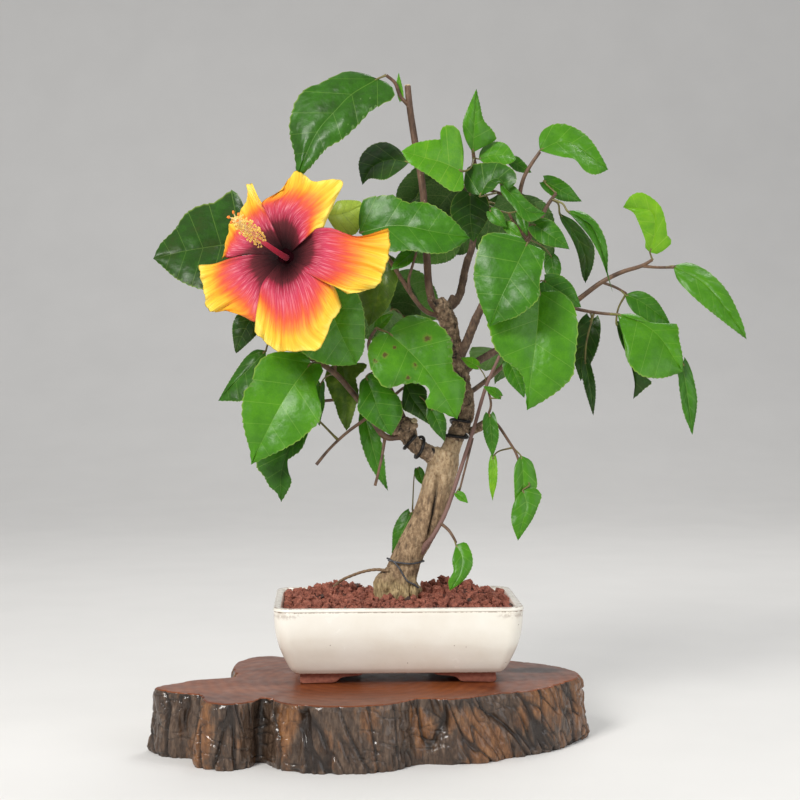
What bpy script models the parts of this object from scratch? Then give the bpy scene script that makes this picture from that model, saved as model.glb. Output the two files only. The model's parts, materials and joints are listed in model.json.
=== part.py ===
"""A flowering hibiscus bonsai in a rectangular glazed pot, on a slab of natural wood.

Metres, +Z up, +X to the right, +Y away from the front. The origin is on the slab's flat underside,
under the middle of the pot. Sizes in the tables are millimetres, and MM turns them into metres.
"""

import math
import random

import bmesh
import bpy
from mathutils import Vector
from mathutils.bvhtree import BVHTree

MM = 0.001
GAP = 0.3  # air between two pieces that touch
CUT_GAP = 0.36  # a little more, as it is measured at the corners of a faceted limb
SEAT_DEEP = 1.5  # how far inside its bough a stem starts, before it is cut back
FRONT_EYE = (-55.0, -1332.0, 311.0)  # where the tree is seen from: its depths keep the outline seen there

SLAB_TOP = 49.0
FOOT_TALL = 8.0
RIM_TOP = 111.4
RIM_HALF = (96.0, 60.0)
WALL = 6.2
SOIL_EDGE = 105.5
SEAT_Z = 110.7  # flat seat in the soil under the trunk
SEAT_R = 29.0
TRUNK_CUT = SEAT_Z + GAP

LEAF_THICK = 1.5
LEAST_STALK = 4.0
SHORT_STALK = 12.0
PETAL_THICK = 1.2
PETIOLE_R = 0.9
LOBE_BACK = 0.07  # how far a blade's two lobes reach back past its petiole
BASE_WIDTH = 0.03  # keeps a blade open, and not a point, where its petiole meets it
ROW_SHARES = (0.0, 0.22, 0.48, 0.76)  # where a blade's cross rows lie, from its base to its tip

MERGE = 0.003  # Booleans leave corners closer than this, which count as one
NUDGE = 0.03  # how far a piece is moved for each new try at a Boolean
ATTEMPTS = 8


def clear_scene():
    for old in list(bpy.data.objects):
        bpy.data.objects.remove(old, do_unlink=True)


clear_scene()
TREE = bpy.data.collections.new("hibiscus_bonsai")
CUTTERS = bpy.data.collections.new("cutters")
bpy.context.scene.collection.children.link(TREE)
bpy.context.scene.collection.children.link(CUTTERS)
BODIES = {}  # node name: its surface, for the clearance tests
CLEARED = {}  # node name: the limb a hair fatter, which cuts what grows from it


def material(name, colour, roughness, metallic=0.0):
    found = bpy.data.materials.get(name) or bpy.data.materials.new(name)
    found.use_nodes = True
    shader = found.node_tree.nodes["Principled BSDF"]
    shader.inputs["Base Color"].default_value = (*colour, 1.0)
    shader.inputs["Roughness"].default_value = roughness
    shader.inputs["Metallic"].default_value = metallic
    return found


FINISHES = {
    "bark": ((0.30, 0.21, 0.13), 0.8),
    "young_bark": ((0.20, 0.11, 0.09), 0.6),
    "leaf": ((0.10, 0.30, 0.04), 0.35),
    "bloom": ((0.85, 0.25, 0.15), 0.5),
    "glaze": ((0.80, 0.74, 0.60), 0.25),
    "soil": ((0.28, 0.08, 0.05), 0.95),
    "slab": ((0.30, 0.10, 0.04), 0.3),
    "wire": ((0.03, 0.03, 0.03), 0.5),
}


def seen(across, up, depth):
    """The point at this depth that the front view shows at (across, up) in the trunk's plane."""
    reach = (depth - FRONT_EYE[1]) / -FRONT_EYE[1]
    x = FRONT_EYE[0] + (across - FRONT_EYE[0]) * reach
    z = FRONT_EYE[2] + (up - FRONT_EYE[2]) * reach
    return Vector((x, depth, z)) * MM


def smooth_path(points, steps):
    """Points on a Catmull-Rom curve through the given ones, `steps` to each span."""
    ends = [points[0] * 2 - points[1], *points, points[-1] * 2 - points[-2]]
    path = []
    for i in range(1, len(ends) - 2):
        a, b, c, d = ends[i - 1 : i + 3]
        for j in range(steps):
            u = j / steps
            path.append(0.5 * (2 * b + (c - a) * u + (2 * a - 5 * b + 4 * c - d) * u**2
                               + (3 * b - a - 3 * c + d) * u**3))
    return [*path, points[-1].copy()]


def smooth_values(values, steps):
    spread = [a + (b - a) * j / steps for a, b in zip(values, values[1:]) for j in range(steps)]
    return [*spread, values[-1]]


def frames_along(path):
    """A side and an up vector at each point, carried along the path with no twist."""
    ways = [(b - a).normalized() for a, b in zip([path[0], *path[:-1]], [*path[1:], path[-1]])]
    side = ways[0].orthogonal().normalized()
    frames = []
    for way in ways:
        side = (side - way * side.dot(way)).normalized()
        frames.append((side, way.cross(side)))
    return frames


def loft(rings):
    """A closed surface through rings of equal length, with a flat fan at both ends."""
    count = len(rings[0])
    points = [p for ring in rings for p in ring]
    faces = []
    for row in range(len(rings) - 1):
        for i in range(count):
            j = (i + 1) % count
            a, b = row * count, (row + 1) * count
            faces.append((a + i, a + j, b + j, b + i))
    faces.append(tuple(reversed(range(count))))
    faces.append(tuple(range((len(rings) - 1) * count, len(rings) * count)))
    return points, faces


def limb_shape(path, radii, sides, grow=0.0, ripple=0.0, seed=0):
    """A tapering limb of round sections; ripple makes its sides uneven, as old wood is."""
    dice = random.Random(seed)
    phases = [dice.uniform(0, math.tau) for _ in range(3)]
    path = list(path)
    if grow:
        path[0] = path[0] + (path[0] - path[1]).normalized() * grow * MM
        path[-1] = path[-1] + (path[-1] - path[-2]).normalized() * grow * MM
    rings = []
    for k, (point, radius, (side, up)) in enumerate(zip(path, radii, frames_along(path))):
        ring = []
        for i in range(sides):
            turn = math.tau * i / sides
            uneven = 1 + ripple * (math.sin(2 * turn + phases[0] + 0.5 * k)
                                   + 0.6 * math.sin(3 * turn + phases[1] - 0.4 * k)
                                   + 0.5 * math.sin(1.3 * k + phases[2]))
            reach = (radius * uneven + grow) * MM
            ring.append(point + (side * math.cos(turn) + up * math.sin(turn)) * reach)
        rings.append(ring)
    return loft(rings)


def make_object(name, shape, finish, collection=None):
    mesh = bpy.data.meshes.new(name)
    mesh.from_pydata([tuple(p) for p in shape[0]], [], shape[1])
    made = bpy.data.objects.new(name, mesh)
    (collection or TREE).objects.link(made)
    tidy = bmesh.new()
    tidy.from_mesh(mesh)
    bmesh.ops.triangulate(tidy, faces=[f for f in tidy.faces if len(f.verts) > 4])
    bmesh.ops.recalc_face_normals(tidy, faces=tidy.faces)
    if tidy.calc_volume(signed=True) < 0:
        bmesh.ops.reverse_faces(tidy, faces=tidy.faces)
    tidy.to_mesh(mesh)
    tidy.free()
    mesh.materials.append(material(finish, *FINISHES[finish]))
    return made


def islands_of(work):
    """The vertices of each connected surface."""
    left = set(work.verts)
    islands = []
    while left:
        island, waiting = set(), [left.pop()]
        while waiting:
            vert = waiting.pop()
            island.add(vert)
            for edge in vert.link_edges:
                other = edge.other_vert(vert)
                if other in left:
                    left.remove(other)
                    waiting.append(other)
        islands.append(island)
    return islands


def island_volume(island):
    faces = {face for vert in island for face in vert.link_faces}
    return sum(f.verts[0].co.dot(f.verts[1].co.cross(f.verts[2].co)) for f in faces)


def keep_main_body(mesh):
    """Drops loose scraps and fills sealed hollows, and says whether what stays is one closed surface."""
    work = bmesh.new()
    work.from_mesh(mesh)
    bmesh.ops.triangulate(work, faces=work.faces)
    bmesh.ops.remove_doubles(work, verts=work.verts, dist=MERGE * MM)
    islands = islands_of(work)
    main = max(islands, key=island_volume)
    loose = [vert for island in islands if island is not main for vert in island]
    bmesh.ops.delete(work, geom=loose, context="VERTS")
    sound = all(edge.is_manifold for edge in work.edges) and all(vert.is_manifold for vert in work.verts)
    work.to_mesh(mesh)
    work.free()
    return sound


def apply_boolean(made, operation, other=None, others=None, solver="EXACT"):
    """One applied Boolean of `made` with an object or with a whole collection. True if it came out sound."""
    modifier = made.modifiers.new("join", "BOOLEAN")
    modifier.operation = operation
    modifier.solver = solver
    if others is not None:
        modifier.operand_type = "COLLECTION"
        modifier.collection = others
    else:
        modifier.object = other
    graph = bpy.context.evaluated_depsgraph_get()
    result = bpy.data.meshes.new_from_object(made.evaluated_get(graph))
    made.modifiers.remove(modifier)
    made.data = result
    result.name = made.name
    return keep_main_body(result)


def nudged(shape, number, attempt):
    """The shape moved by a few hundredths of a millimetre, another way for each piece and attempt."""
    turn = 2.4 * number + attempt
    shift = Vector((math.cos(turn), math.sin(turn), math.sin(1.7 * turn))) * NUDGE * attempt * MM
    return [p + shift for p in shape[0]], shape[1]


def fuse(name, shapes, finish):
    """Joins overlapping closed shapes into one solid. Where the surfaces meet too finely for one
    solver the other is tried, and then the pieces are nudged by a hair."""
    for attempt in range(ATTEMPTS):
        pool = bpy.data.collections.new(name + "_pieces")
        bpy.context.scene.collection.children.link(pool)
        made = make_object(name, nudged(shapes[0], 0, attempt // 2), finish)
        for k, shape in enumerate(shapes[1:]):
            make_object(f"{name}_piece_{k}", nudged(shape, k + 1, attempt // 2), finish, pool)
        solver = ("EXACT", "MANIFOLD")[attempt % 2]
        sound = apply_boolean(made, "UNION", others=pool, solver=solver)
        for piece in list(pool.objects):
            bpy.data.objects.remove(piece, do_unlink=True)
        bpy.data.collections.remove(pool)
        if sound:
            return made
        if attempt < ATTEMPTS - 1:
            bpy.data.objects.remove(made, do_unlink=True)
    return made


def cut_away(made, shape):
    """Takes a shape away from an object; the shape itself stays out of the model."""
    cutter = make_object("cutter", shape, "bark", CUTTERS)
    cutter.hide_render = True
    cutter.display_type = "WIRE"
    apply_boolean(made, "DIFFERENCE", other=cutter)
    bpy.data.objects.remove(cutter, do_unlink=True)


def surface_of(points, faces):
    return BVHTree.FromPolygons([tuple(p) for p in points], [tuple(f) for f in faces])


def settle(made):
    """Notes a finished object's surface, so that leaves placed later keep clear of it."""
    made.data.shade_smooth()
    made.data.set_sharp_from_angle(angle=math.radians(50))
    BODIES[made.name] = surface_of(
        [v.co for v in made.data.vertices], [p.vertices[:] for p in made.data.polygons])
    return made


# The slab: an irregular slice of a log, sawn flat above and below, its sides left as bark. It is
# lofted through the sawn outlines of its two faces.
SLAB_OUTLINE = (
    (-189, -50), (-178, -36), (-160, -21), (-130, -8), (-133, 28), (-129, 60), (-107, 80), (-78, 66),
    (-45, 66), (0, 70), (40, 66), (84, 56), (124, 33), (145, 5), (146, -20), (130, -45), (103, -72),
    (70, -85), (40, -101), (14, -99), (-14, -119), (-60, -123), (-86, -112), (-102, -93), (-112, -104),
    (-130, -112), (-147, -101), (-154, -78), (-172, -70))
SLAB_LEVELS = ((0.0, 1.035), (4.0, 1.045), (26.0, 1.02), (45.0, 1.005), (49.0, 0.985))


def make_slab():
    middle = Vector((-20.0, -20.0, 0.0))
    outline = [Vector((x, y, 0)) for x, y in SLAB_OUTLINE]
    rings = []
    for k, (height, spread) in enumerate(SLAB_LEVELS):
        ring = []
        for i, point in enumerate(outline):
            furrow = 1 + 0.012 * math.sin(2.4 * i + 1.7 * k) * (0 < k < len(SLAB_LEVELS) - 1)
            place = middle + (point - middle) * spread * furrow
            place.z = height
            ring.append(place * MM)
        rings.append(ring)
    return settle(make_object("display_slab", loft(rings), "slab"))


def round_rect(half_x, half_y, corner, z, per_corner=4):
    """A rectangle with round corners, counter-clockwise from its right side."""
    ring = []
    for k, (sx, sy) in enumerate(((1, 1), (-1, 1), (-1, -1), (1, -1))):
        for i in range(per_corner):
            turn = math.radians(90 * (k + i / (per_corner - 1)))
            x = sx * (half_x - corner) + corner * math.cos(turn)
            y = sy * (half_y - corner) + corner * math.sin(turn)
            ring.append(Vector((x, y, z)) * MM)
    return ring


# The pot: slip-cast, its sides bellied, with a flat band under the rim. One loft goes up its
# outside, over the rim and down to the floor, and two low feet are joined on under its ends.
POT_OUTSIDE = (  # height, how far inside the rim's outline, corner radius
    (SLAB_TOP + GAP + FOOT_TALL, 18.0, 12.0), (60.0, 13.5, 17.0), (67.0, 9.0, 19.0), (80.0, 4.6, 21.0),
    (97.0, 1.8, 22.0), (105.0, 1.2, 22.0), (106.2, 0.0, 22.0), (110.6, 0.0, 22.0), (RIM_TOP, 0.8, 21.5))
POT_INSIDE = ((RIM_TOP, WALL - 0.8, 17.0), (110.4, WALL, 16.5), (97.0, 8.4, 15.5), (65.0, 16.4, 15.5))
FOOT_HALF = (24.0, 41.0)
FOOT_ACROSS = 53.0


def make_pot():
    rings = [round_rect(RIM_HALF[0] - inset, RIM_HALF[1] - inset, corner, z)
             for z, inset, corner in POT_OUTSIDE + POT_INSIDE]
    shapes = [loft(rings)]
    low = SLAB_TOP + GAP
    for side in (-1, 1):
        foot = [round_rect(FOOT_HALF[0] - inset, FOOT_HALF[1] - inset, 7.0, z)
                for z, inset in ((low, 1.5), (low + 1.5, 0.3), (low + FOOT_TALL + 2.0, 0.0))]
        moved = [[p + Vector((side * FOOT_ACROSS * MM, 0, 0)) for p in ring] for ring in foot]
        shapes.append(loft(moved))
    return settle(fuse("pot", shapes, "glaze"))


def soil_height(x, y):
    """The heaped surface of the grit, flat under the trunk and lowest along the rim."""
    away = max(0.0, min(1.0, (math.hypot(x, y) - SEAT_R) / 22.0))
    edge = max(abs(x) / (RIM_HALF[0] - WALL), abs(y) / (RIM_HALF[1] - WALL))
    heap = 9.0 * math.exp(-(((x - 42) / 36) ** 2) - ((y - 26) / 20) ** 2)
    heap += 6.5 * math.exp(-(((x + 46) / 36) ** 2) - ((y - 24) / 22) ** 2)
    drop = (SEAT_Z - SOIL_EDGE) * max(0.0, edge) ** 2.5
    rim_fade = 1 - max(0.0, edge) ** 5
    return SEAT_Z + away * (heap * rim_fade - drop)


SOIL_SPAN = 42.0
SOIL_RINGS = (0.25, 0.5, 0.8)  # from the trunk's seat out to the pot's wall


def make_soil():
    def inside(z, inset, corner):
        corners = round_rect(RIM_HALF[0] - inset - 0.6, RIM_HALF[1] - inset - 0.6, corner, z, 3)
        ring = []
        for here, after in zip(corners, [*corners[1:], corners[0]]):
            parts = 1 + int((after - here).length / (SOIL_SPAN * MM))
            ring += [here.lerp(after, i / parts) for i in range(parts)]
        return ring

    rings = [inside(65.5, 16.6, 15.0), inside(97.0, 8.6, 15.0), inside(SOIL_EDGE, 7.4, 15.0)]
    edge = rings[-1]  # the wall leans out, so the fill stays a little inside it at every height
    seat = []
    for point in edge:
        seat.append(point.xy.normalized() * SEAT_R * MM)
    for share in reversed(SOIL_RINGS):
        ring = []
        for outer, inner in zip(edge, seat):
            place = inner.lerp(outer.xy, share)
            ring.append(Vector((*place, soil_height(*(place / MM)) * MM)))
        rings.append(ring)
    rings.append([Vector((*inner, SEAT_Z * MM)) for inner in seat])
    return settle(make_object("soil", loft(rings), "soil"))


# The wood. Each row is (across, up, depth, radius) on the limb's middle line, foot to tip.
TRUNK = ((-1, 96, -1, 17.0), (0, 110, -1, 15.0), (3, 124, 0, 13.4), (9, 143, 0, 12.0), (18, 160, 0, 12.0),
         (27, 178, 1, 12.6), (34, 202, 1, 12.4), (38, 219, 1, 12.6), (41, 228, 1, 10.0))
LEFT_BOUGH = ((38, 214, 1, 6.5), (30, 223, -5, 7.0), (22, 228, -9, 6.4), (13, 235, -12, 6.6),
              (6, 247, -13, 8.6), (3, 253, -13, 6.5))
LEADER = ((40, 218, 2, 8.0), (47, 238, 1, 7.2), (56, 260, 2, 7.0), (53, 284, 4, 6.4), (47, 308, 4, 6.3),
          (42, 330, 3, 6.9), (36, 343, 3, 7.6), (33, 349, 3, 5.0))
CUT_STEM = ((34, 338, 3, 3.2), (27, 354, 2, 3.2), (24.5, 381, 1, 3.1), (21.5, 434, 0, 2.9), (15, 474, 0, 2.8),
            (11, 500, 0, 2.7), (9, 519, 0, 2.6))
UPPER_BOUGH = ((38, 338, 4, 3.6), (50, 351, 12, 3.4), (56, 377, 16, 3.0), (61, 392, 16, 2.7),
               (63, 420, 14, 2.3))
CENTRE_BOUGH = ((50, 300, 4, 3.8), (58, 319, -4, 3.8), (67, 340, -8, 3.4), (83, 366, -10, 3.0),
                (96, 384, -8, 2.7))
RIGHT_BOUGH = ((51, 288, 4, 3.4), (63, 298, 12, 3.2), (82, 309, 15, 3.0), (108, 324, 14, 2.7),
               (136, 341, 10, 2.4))
FOOT_SHOOT = ((22, 150, -8, 1.8), (30, 160, -15, 1.8), (40, 179, -17, 1.7), (51, 211, -16, 1.6),
              (62, 245, -14, 1.5), (72, 279, -16, 1.4), (83, 304, -18, 1.2))
ROOTS = (  # the flare: swollen roots that run out from the foot of the trunk
    ((4, 128, -3, 8.0), (-6, 121, -6, 8.6), (-14, 112, -8, 6.5), (-17, 104, -8, 5.0)),
    ((4, 126, -6, 6.0), (5, 116, -11, 5.0), (6, 104, -15, 3.4)),
    ((6, 125, -5, 5.0), (12, 115, -9, 4.2), (15, 104, -12, 3.0)),
    ((6, 124, 4, 7.0), (15, 115, 9, 5.5), (20, 104, 12, 4.0)),
    ((0, 124, 5, 7.0), (-8, 114, 12, 6.0), (-12, 104, 15, 4.0)))


def limb_path(rows, steps):
    path = smooth_path([seen(a, u, d) for a, u, d, _ in rows], steps)
    return path, smooth_values([r for *_, r in rows], steps)


def limb_of(rows, steps=3, sides=10, grow=0.0, ripple=0.03, seed=1):
    path, radii = limb_path(rows, steps)
    return limb_shape(path, radii, sides, grow, ripple, seed)


def box_shape(low, high):
    corners = [Vector((x, y, z)) * MM for z in (low[2], high[2]) for x, y in
               ((low[0], low[1]), (high[0], low[1]), (high[0], high[1]), (low[0], high[1]))]
    return loft([corners[:4], corners[4:]])


def make_trunk():
    shapes = [limb_of(TRUNK, 2, 14, ripple=0.035, seed=4)]
    shapes += [limb_of(root, 2, 8, ripple=0.05, seed=k) for k, root in enumerate(ROOTS)]
    trunk = fuse("trunk", shapes, "bark")
    cut_away(trunk, box_shape((-80, -80, 40), (80, 80, TRUNK_CUT)))
    CLEARED["trunk"] = limb_of(TRUNK, 2, 14, CUT_GAP, 0.035, 4)
    return settle(trunk)


def make_bough(name, rows, parents, finish="bark", sides=9, seed=2):
    """A bough that starts inside its parents and is cut back to just clear of them."""
    bough = make_object(name, limb_of(rows, 3, sides, seed=seed), finish)
    for parent in parents:
        cut_away(bough, CLEARED[parent])
    CLEARED[name] = limb_of(rows, 3, sides, CUT_GAP, seed=seed)
    return settle(bough)


def make_limbs():
    make_trunk()
    make_bough("leader", LEADER, ["trunk"], sides=10, seed=1)
    make_bough("left_bough", LEFT_BOUGH, ["trunk", "leader"], seed=3)
    make_bough("cut_stem", CUT_STEM, ["leader"], "young_bark", sides=8, seed=6)
    make_bough("upper_bough", UPPER_BOUGH, ["leader"], sides=8, seed=7)
    make_bough("centre_bough", CENTRE_BOUGH, ["leader"], sides=8, seed=8)
    make_bough("right_bough", RIGHT_BOUGH, ["leader"], sides=8, seed=9)
    make_bough("foot_shoot", FOOT_SHOOT, ["trunk"], "young_bark", sides=6, seed=10)


# Training wire: soft wire wound round the wood while it sets.
WIRE_R = 1.3
WIRE_CLEAR = 0.7


def coil(name, rows, start, end, turns, from_angle):
    """Wire in a helix round a limb, between two shares of its length."""
    path, radii = limb_path(rows, 12)
    frames = frames_along(path)
    first, last = start * (len(path) - 1), end * (len(path) - 1)
    count = max(8, int(turns * 11))
    curve = bpy.data.curves.new(name, "CURVE")
    curve.dimensions = "3D"
    curve.bevel_depth = WIRE_R * MM
    curve.bevel_resolution = 1
    curve.use_fill_caps = True
    spline = curve.splines.new("POLY")
    spline.points.add(count)
    for i in range(count + 1):
        at = first + (last - first) * i / count
        low = min(int(at), len(path) - 2)
        middle = path[low].lerp(path[low + 1], at - low)
        side, up = frames[low]
        turn = from_angle + math.tau * turns * i / count
        reach = (radii[low] * 1.05 + WIRE_R + WIRE_CLEAR) * MM
        spline.points[i].co = (*(middle + (side * math.cos(turn) + up * math.sin(turn)) * reach), 1.0)
    wound = bpy.data.objects.new(name, curve)
    TREE.objects.link(wound)
    graph = bpy.context.evaluated_depsgraph_get()
    mesh = bpy.data.meshes.new_from_object(wound.evaluated_get(graph))
    bpy.data.objects.remove(wound, do_unlink=True)
    weld = bmesh.new()
    weld.from_mesh(mesh)
    bmesh.ops.remove_doubles(weld, verts=weld.verts, dist=1e-6)
    weld.to_mesh(mesh)
    weld.free()
    made = bpy.data.objects.new(name, mesh)
    TREE.objects.link(made)
    mesh.materials.append(material("wire", *FINISHES["wire"]))
    return settle(made)


def make_wires():
    coil("wire_on_left_bough", LEFT_BOUGH, 0.40, 0.66, 1.6, 1.0)
    coil("wire_on_leader", LEADER, 0.13, 0.24, 1.4, 2.0)


# Foliage. A leaf row is: base (across, up, depth), tip (across, up, depth), width, then how far it
# is turned about its own middle line (degrees, 0 faces front and up) and how much its midrib arches.
def blade_width(share):
    return math.sqrt(share + BASE_WIDTH) * (1 - share) / 0.39


class Blade:
    """One leaf: an ovate blade, arched along its midrib and folded a little along it."""

    def __init__(self, base, tip, width, turn=0.0, arch=0.06, fold=14.0, facing=(0.0, -0.88, 0.47)):
        self.base = seen(*base)
        self.tip = seen(*tip)
        self.width = width * MM
        self.arch, self.fold = arch, math.radians(fold)
        self.along = (self.tip - self.base).normalized()
        self.length = (self.tip - self.base).length
        face = Vector(facing)
        face = (face - self.along * face.dot(self.along)).normalized()
        side = self.along.cross(face)
        turned = math.radians(turn)
        self.face = face * math.cos(turned) + side * math.sin(turned)
        self.side = self.along.cross(self.face)

    def point(self, share, across, lift=0.0):
        half = 0.5 * self.width * blade_width(share)
        back = LOBE_BACK * self.length * across**2 * (1 - share) ** 4
        rise = self.arch * self.length * 4 * share * (1 - share)
        rise += abs(across) * half * math.sin(self.fold)
        return (self.base + self.along * (share * self.length - back)
                + self.side * (across * half * math.cos(self.fold)) + self.face * (rise + lift * MM))

    def shape(self):
        """The blade as a closed lens: thick along the midrib, sharp at its edge."""
        points, faces = [], []
        for share in ROW_SHARES:
            points += [self.point(share, -1), self.point(share, 0, LEAF_THICK / 2),
                       self.point(share, 0, -LEAF_THICK / 2), self.point(share, 1)]
        points.append(self.point(1.0, 0))
        for row in range(len(ROW_SHARES) - 1):
            a, b = 4 * row, 4 * row + 4
            faces += [(a, a + 1, b + 1, b), (a + 1, a + 3, b + 3, b + 1),
                      (a + 3, a + 2, b + 2, b + 3), (a + 2, a, b, b + 2)]
        last, tip = 4 * len(ROW_SHARES) - 4, 4 * len(ROW_SHARES)
        faces += [(last, last + 1, tip), (last + 1, last + 3, tip), (last + 3, last + 2, tip),
                  (last + 2, last, tip), (1, 0, 2), (3, 1, 2)]
        triangles = [t for f in faces for t in ((f[:3], (f[0], f[2], f[3])) if len(f) == 4 else (f,))]
        return points, triangles


def petiole(blade, joint):
    """A thin stalk from a point inside the twig to a little way up the midrib."""
    reach = (blade.base - joint).length
    end = blade.point(0.1, 0)
    path = [joint, blade.base.lerp(joint, 0.3) - blade.along * 0.12 * reach, end]
    if reach < SHORT_STALK * MM:
        path = [joint, end]
    return limb_shape(path, (PETIOLE_R, 0.94 * PETIOLE_R, 0.88 * PETIOLE_R), 3)


def nearest_joint(paths, place):
    """The twig point that a stalk to this place grows from: the nearest that leaves it some length."""
    far_enough = [p for path in paths for p in path if (p - place).length > LEAST_STALK * MM]
    return min(far_enough, key=lambda p: (p - place).length)


def is_clear(surface, others):
    return not any(surface.overlap(other) for other in others)


DEPTH_TRIES = (0, -5, 5, -10, 10, -16, 16, -23, 23, -30, 30)


def moved(row, shift):
    base, tip, *rest = row
    return ((*base[:2], base[2] + shift), (*tip[:2], tip[2] + shift), *rest)


def seated_points(carrier, points):
    """The points of a stem, with its foot moved to just inside the carrier's surface."""
    spot, normal, *_ = BODIES[carrier].find_nearest(points[0])
    return [spot - normal * SEAT_DEEP * MM, *points[1:]]


def cut_clear(shape, carrier):
    """A shape cut back to just clear of the limb that carries it."""
    stem = make_object("stem", shape, "leaf", CUTTERS)
    cut_away(stem, CLEARED[carrier])
    kept = [v.co.copy() for v in stem.data.vertices], [p.vertices[:] for p in stem.data.polygons]
    bpy.data.objects.remove(stem, do_unlink=True)
    return kept


def grow_mass(name, carrier, twigs, leaves, sides=5):
    """One mass: its stem and twigs, with each leaf sunk into the nearest twig by its stalk. A leaf
    that would touch another piece or leaf is tried nearer and further off, and then left out."""
    paths, shapes, blades = [], [], []
    for k, rows in enumerate(twigs):
        points = [seen(a, u, d) for a, u, d, _ in rows]
        path = smooth_path(points if k else seated_points(carrier, points), 2)
        radii = smooth_values([r for *_, r in rows], 2)
        paths.append(path)
        if k == 0:
            shapes.append(cut_clear(limb_shape(path, radii, sides), carrier))
            CLEARED[name] = limb_shape(path, radii, sides, CUT_GAP)
        else:
            shapes.append(limb_shape(path, radii, 4))
    for row in leaves:
        for shift in DEPTH_TRIES:
            blade = Blade(*moved(row, shift))
            stalk = petiole(blade, nearest_joint(paths, blade.base))
            surface = surface_of(*blade.shape())
            stalk_surface = surface_of(*stalk)
            if is_clear(surface, [*BODIES.values(), *blades]) and is_clear(stalk_surface, BODIES.values()):
                blades.append(surface)
                shapes += [blade.shape(), stalk]
                break
    return settle(fuse(name, shapes, "leaf"))


# The bloom: five broad petals round a shallow throat, with the long column of anthers in front.
BLOOM_CENTRE = (-89, 382, -56)
BLOOM_AXIS = Vector((-0.40, -0.839, 0.369)).normalized()
COLUMN_WAY = Vector((-0.493, -0.743, 0.453)).normalized()
COLUMN_LONG = 72.0
PETALS = (  # angle, length, half-width
    (-48, 92, 36), (-114, 92, 37), (162, 76, 35), (88, 70, 33), (21, 74, 34))
PETAL_ROWS, PETAL_COLUMNS = (0.03, 0.2, 0.42, 0.68, 0.88, 1.0), (-1, -0.7, -0.35, 0, 0.35, 0.7, 1)


def bloom_frame():
    leaning = Vector((-0.737, 0.0, 0.677))
    high = (leaning - BLOOM_AXIS * leaning.dot(BLOOM_AXIS)).normalized()
    return high.cross(BLOOM_AXIS).normalized(), high


def petal_point(angle, length, half, share, across, lift=0.0):
    right, high = bloom_frame()
    turn = math.radians(angle)
    out = right * math.cos(turn) + high * math.sin(turn)
    over = BLOOM_AXIS.cross(out)
    wide = half * (0.16 + 0.84 * math.sin(0.5 * math.pi * min(1.0, share / 0.85)) ** 1.15)
    reach = length * share * (1 - 0.13 * abs(across) ** 2.5)
    height = -15 * (1 - share) ** 2.4 + 5 * math.sin(math.pi * share) - 7 * share**3
    height += across * (2.4 + 4.0 * share) + 1.8 * share**3 * math.sin(5.2 * across + angle)
    place = out * reach + over * (across * wide) + BLOOM_AXIS * (height + lift)
    return seen(*BLOOM_CENTRE) + place * MM


def petal_shape(angle, length, half):
    rows, columns = len(PETAL_ROWS), len(PETAL_COLUMNS)
    points, index = [], {}
    for side in (1, -1):
        for r, share in enumerate(PETAL_ROWS):
            for c, across in enumerate(PETAL_COLUMNS):
                at_edge = r in (0, rows - 1) or c in (0, columns - 1)
                if at_edge and side < 0:
                    index[side, r, c] = index[1, r, c]
                    continue
                index[side, r, c] = len(points)
                lift = 0.0 if at_edge else side * PETAL_THICK / 2
                points.append(petal_point(angle, length, half, share, across, lift))
    faces = []
    for side in (1, -1):
        for r in range(rows - 1):
            for c in range(columns - 1):
                near = [index[side, r, c], index[side, r, c + 1]]
                far = [index[side, r + 1, c + 1], index[side, r + 1, c]]
                ring = (near + far)[::side]
                faces += [ring[:3], [ring[0], ring[2], ring[3]]]
    return points, faces


STALK_BEND = (-91, 346, -26)


def bloom_shapes(twig_path):
    centre = seen(*BLOOM_CENTRE)
    shapes = [petal_shape(*petal) for petal in PETALS]
    throat = centre - BLOOM_AXIS * 19 * MM
    tip = centre + COLUMN_WAY * COLUMN_LONG * MM
    column = smooth_path([throat, centre, centre.lerp(tip, 0.5), tip], 4)
    fat = [5.0, 4.6, 4.2, 3.6, 2.6, 2.4, 2.2, 2.2, 5.5, 7.2, 6.8, 5.2, 2.6]
    shapes.append(limb_shape(column, fat, 8))
    calyx = [centre - BLOOM_AXIS * d * MM for d in (36, 30, 22, 12, 7)]
    shapes.append(limb_shape(calyx, (3.0, 5.5, 7.6, 8.4, 8.0), 8))
    stalk = smooth_path([twig_path[-1], seen(*STALK_BEND), calyx[1]], 3)
    shapes.append(cut_clear(limb_shape(stalk, [1.9] * len(stalk), 6), "bloom_shoot"))
    return shapes


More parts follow.
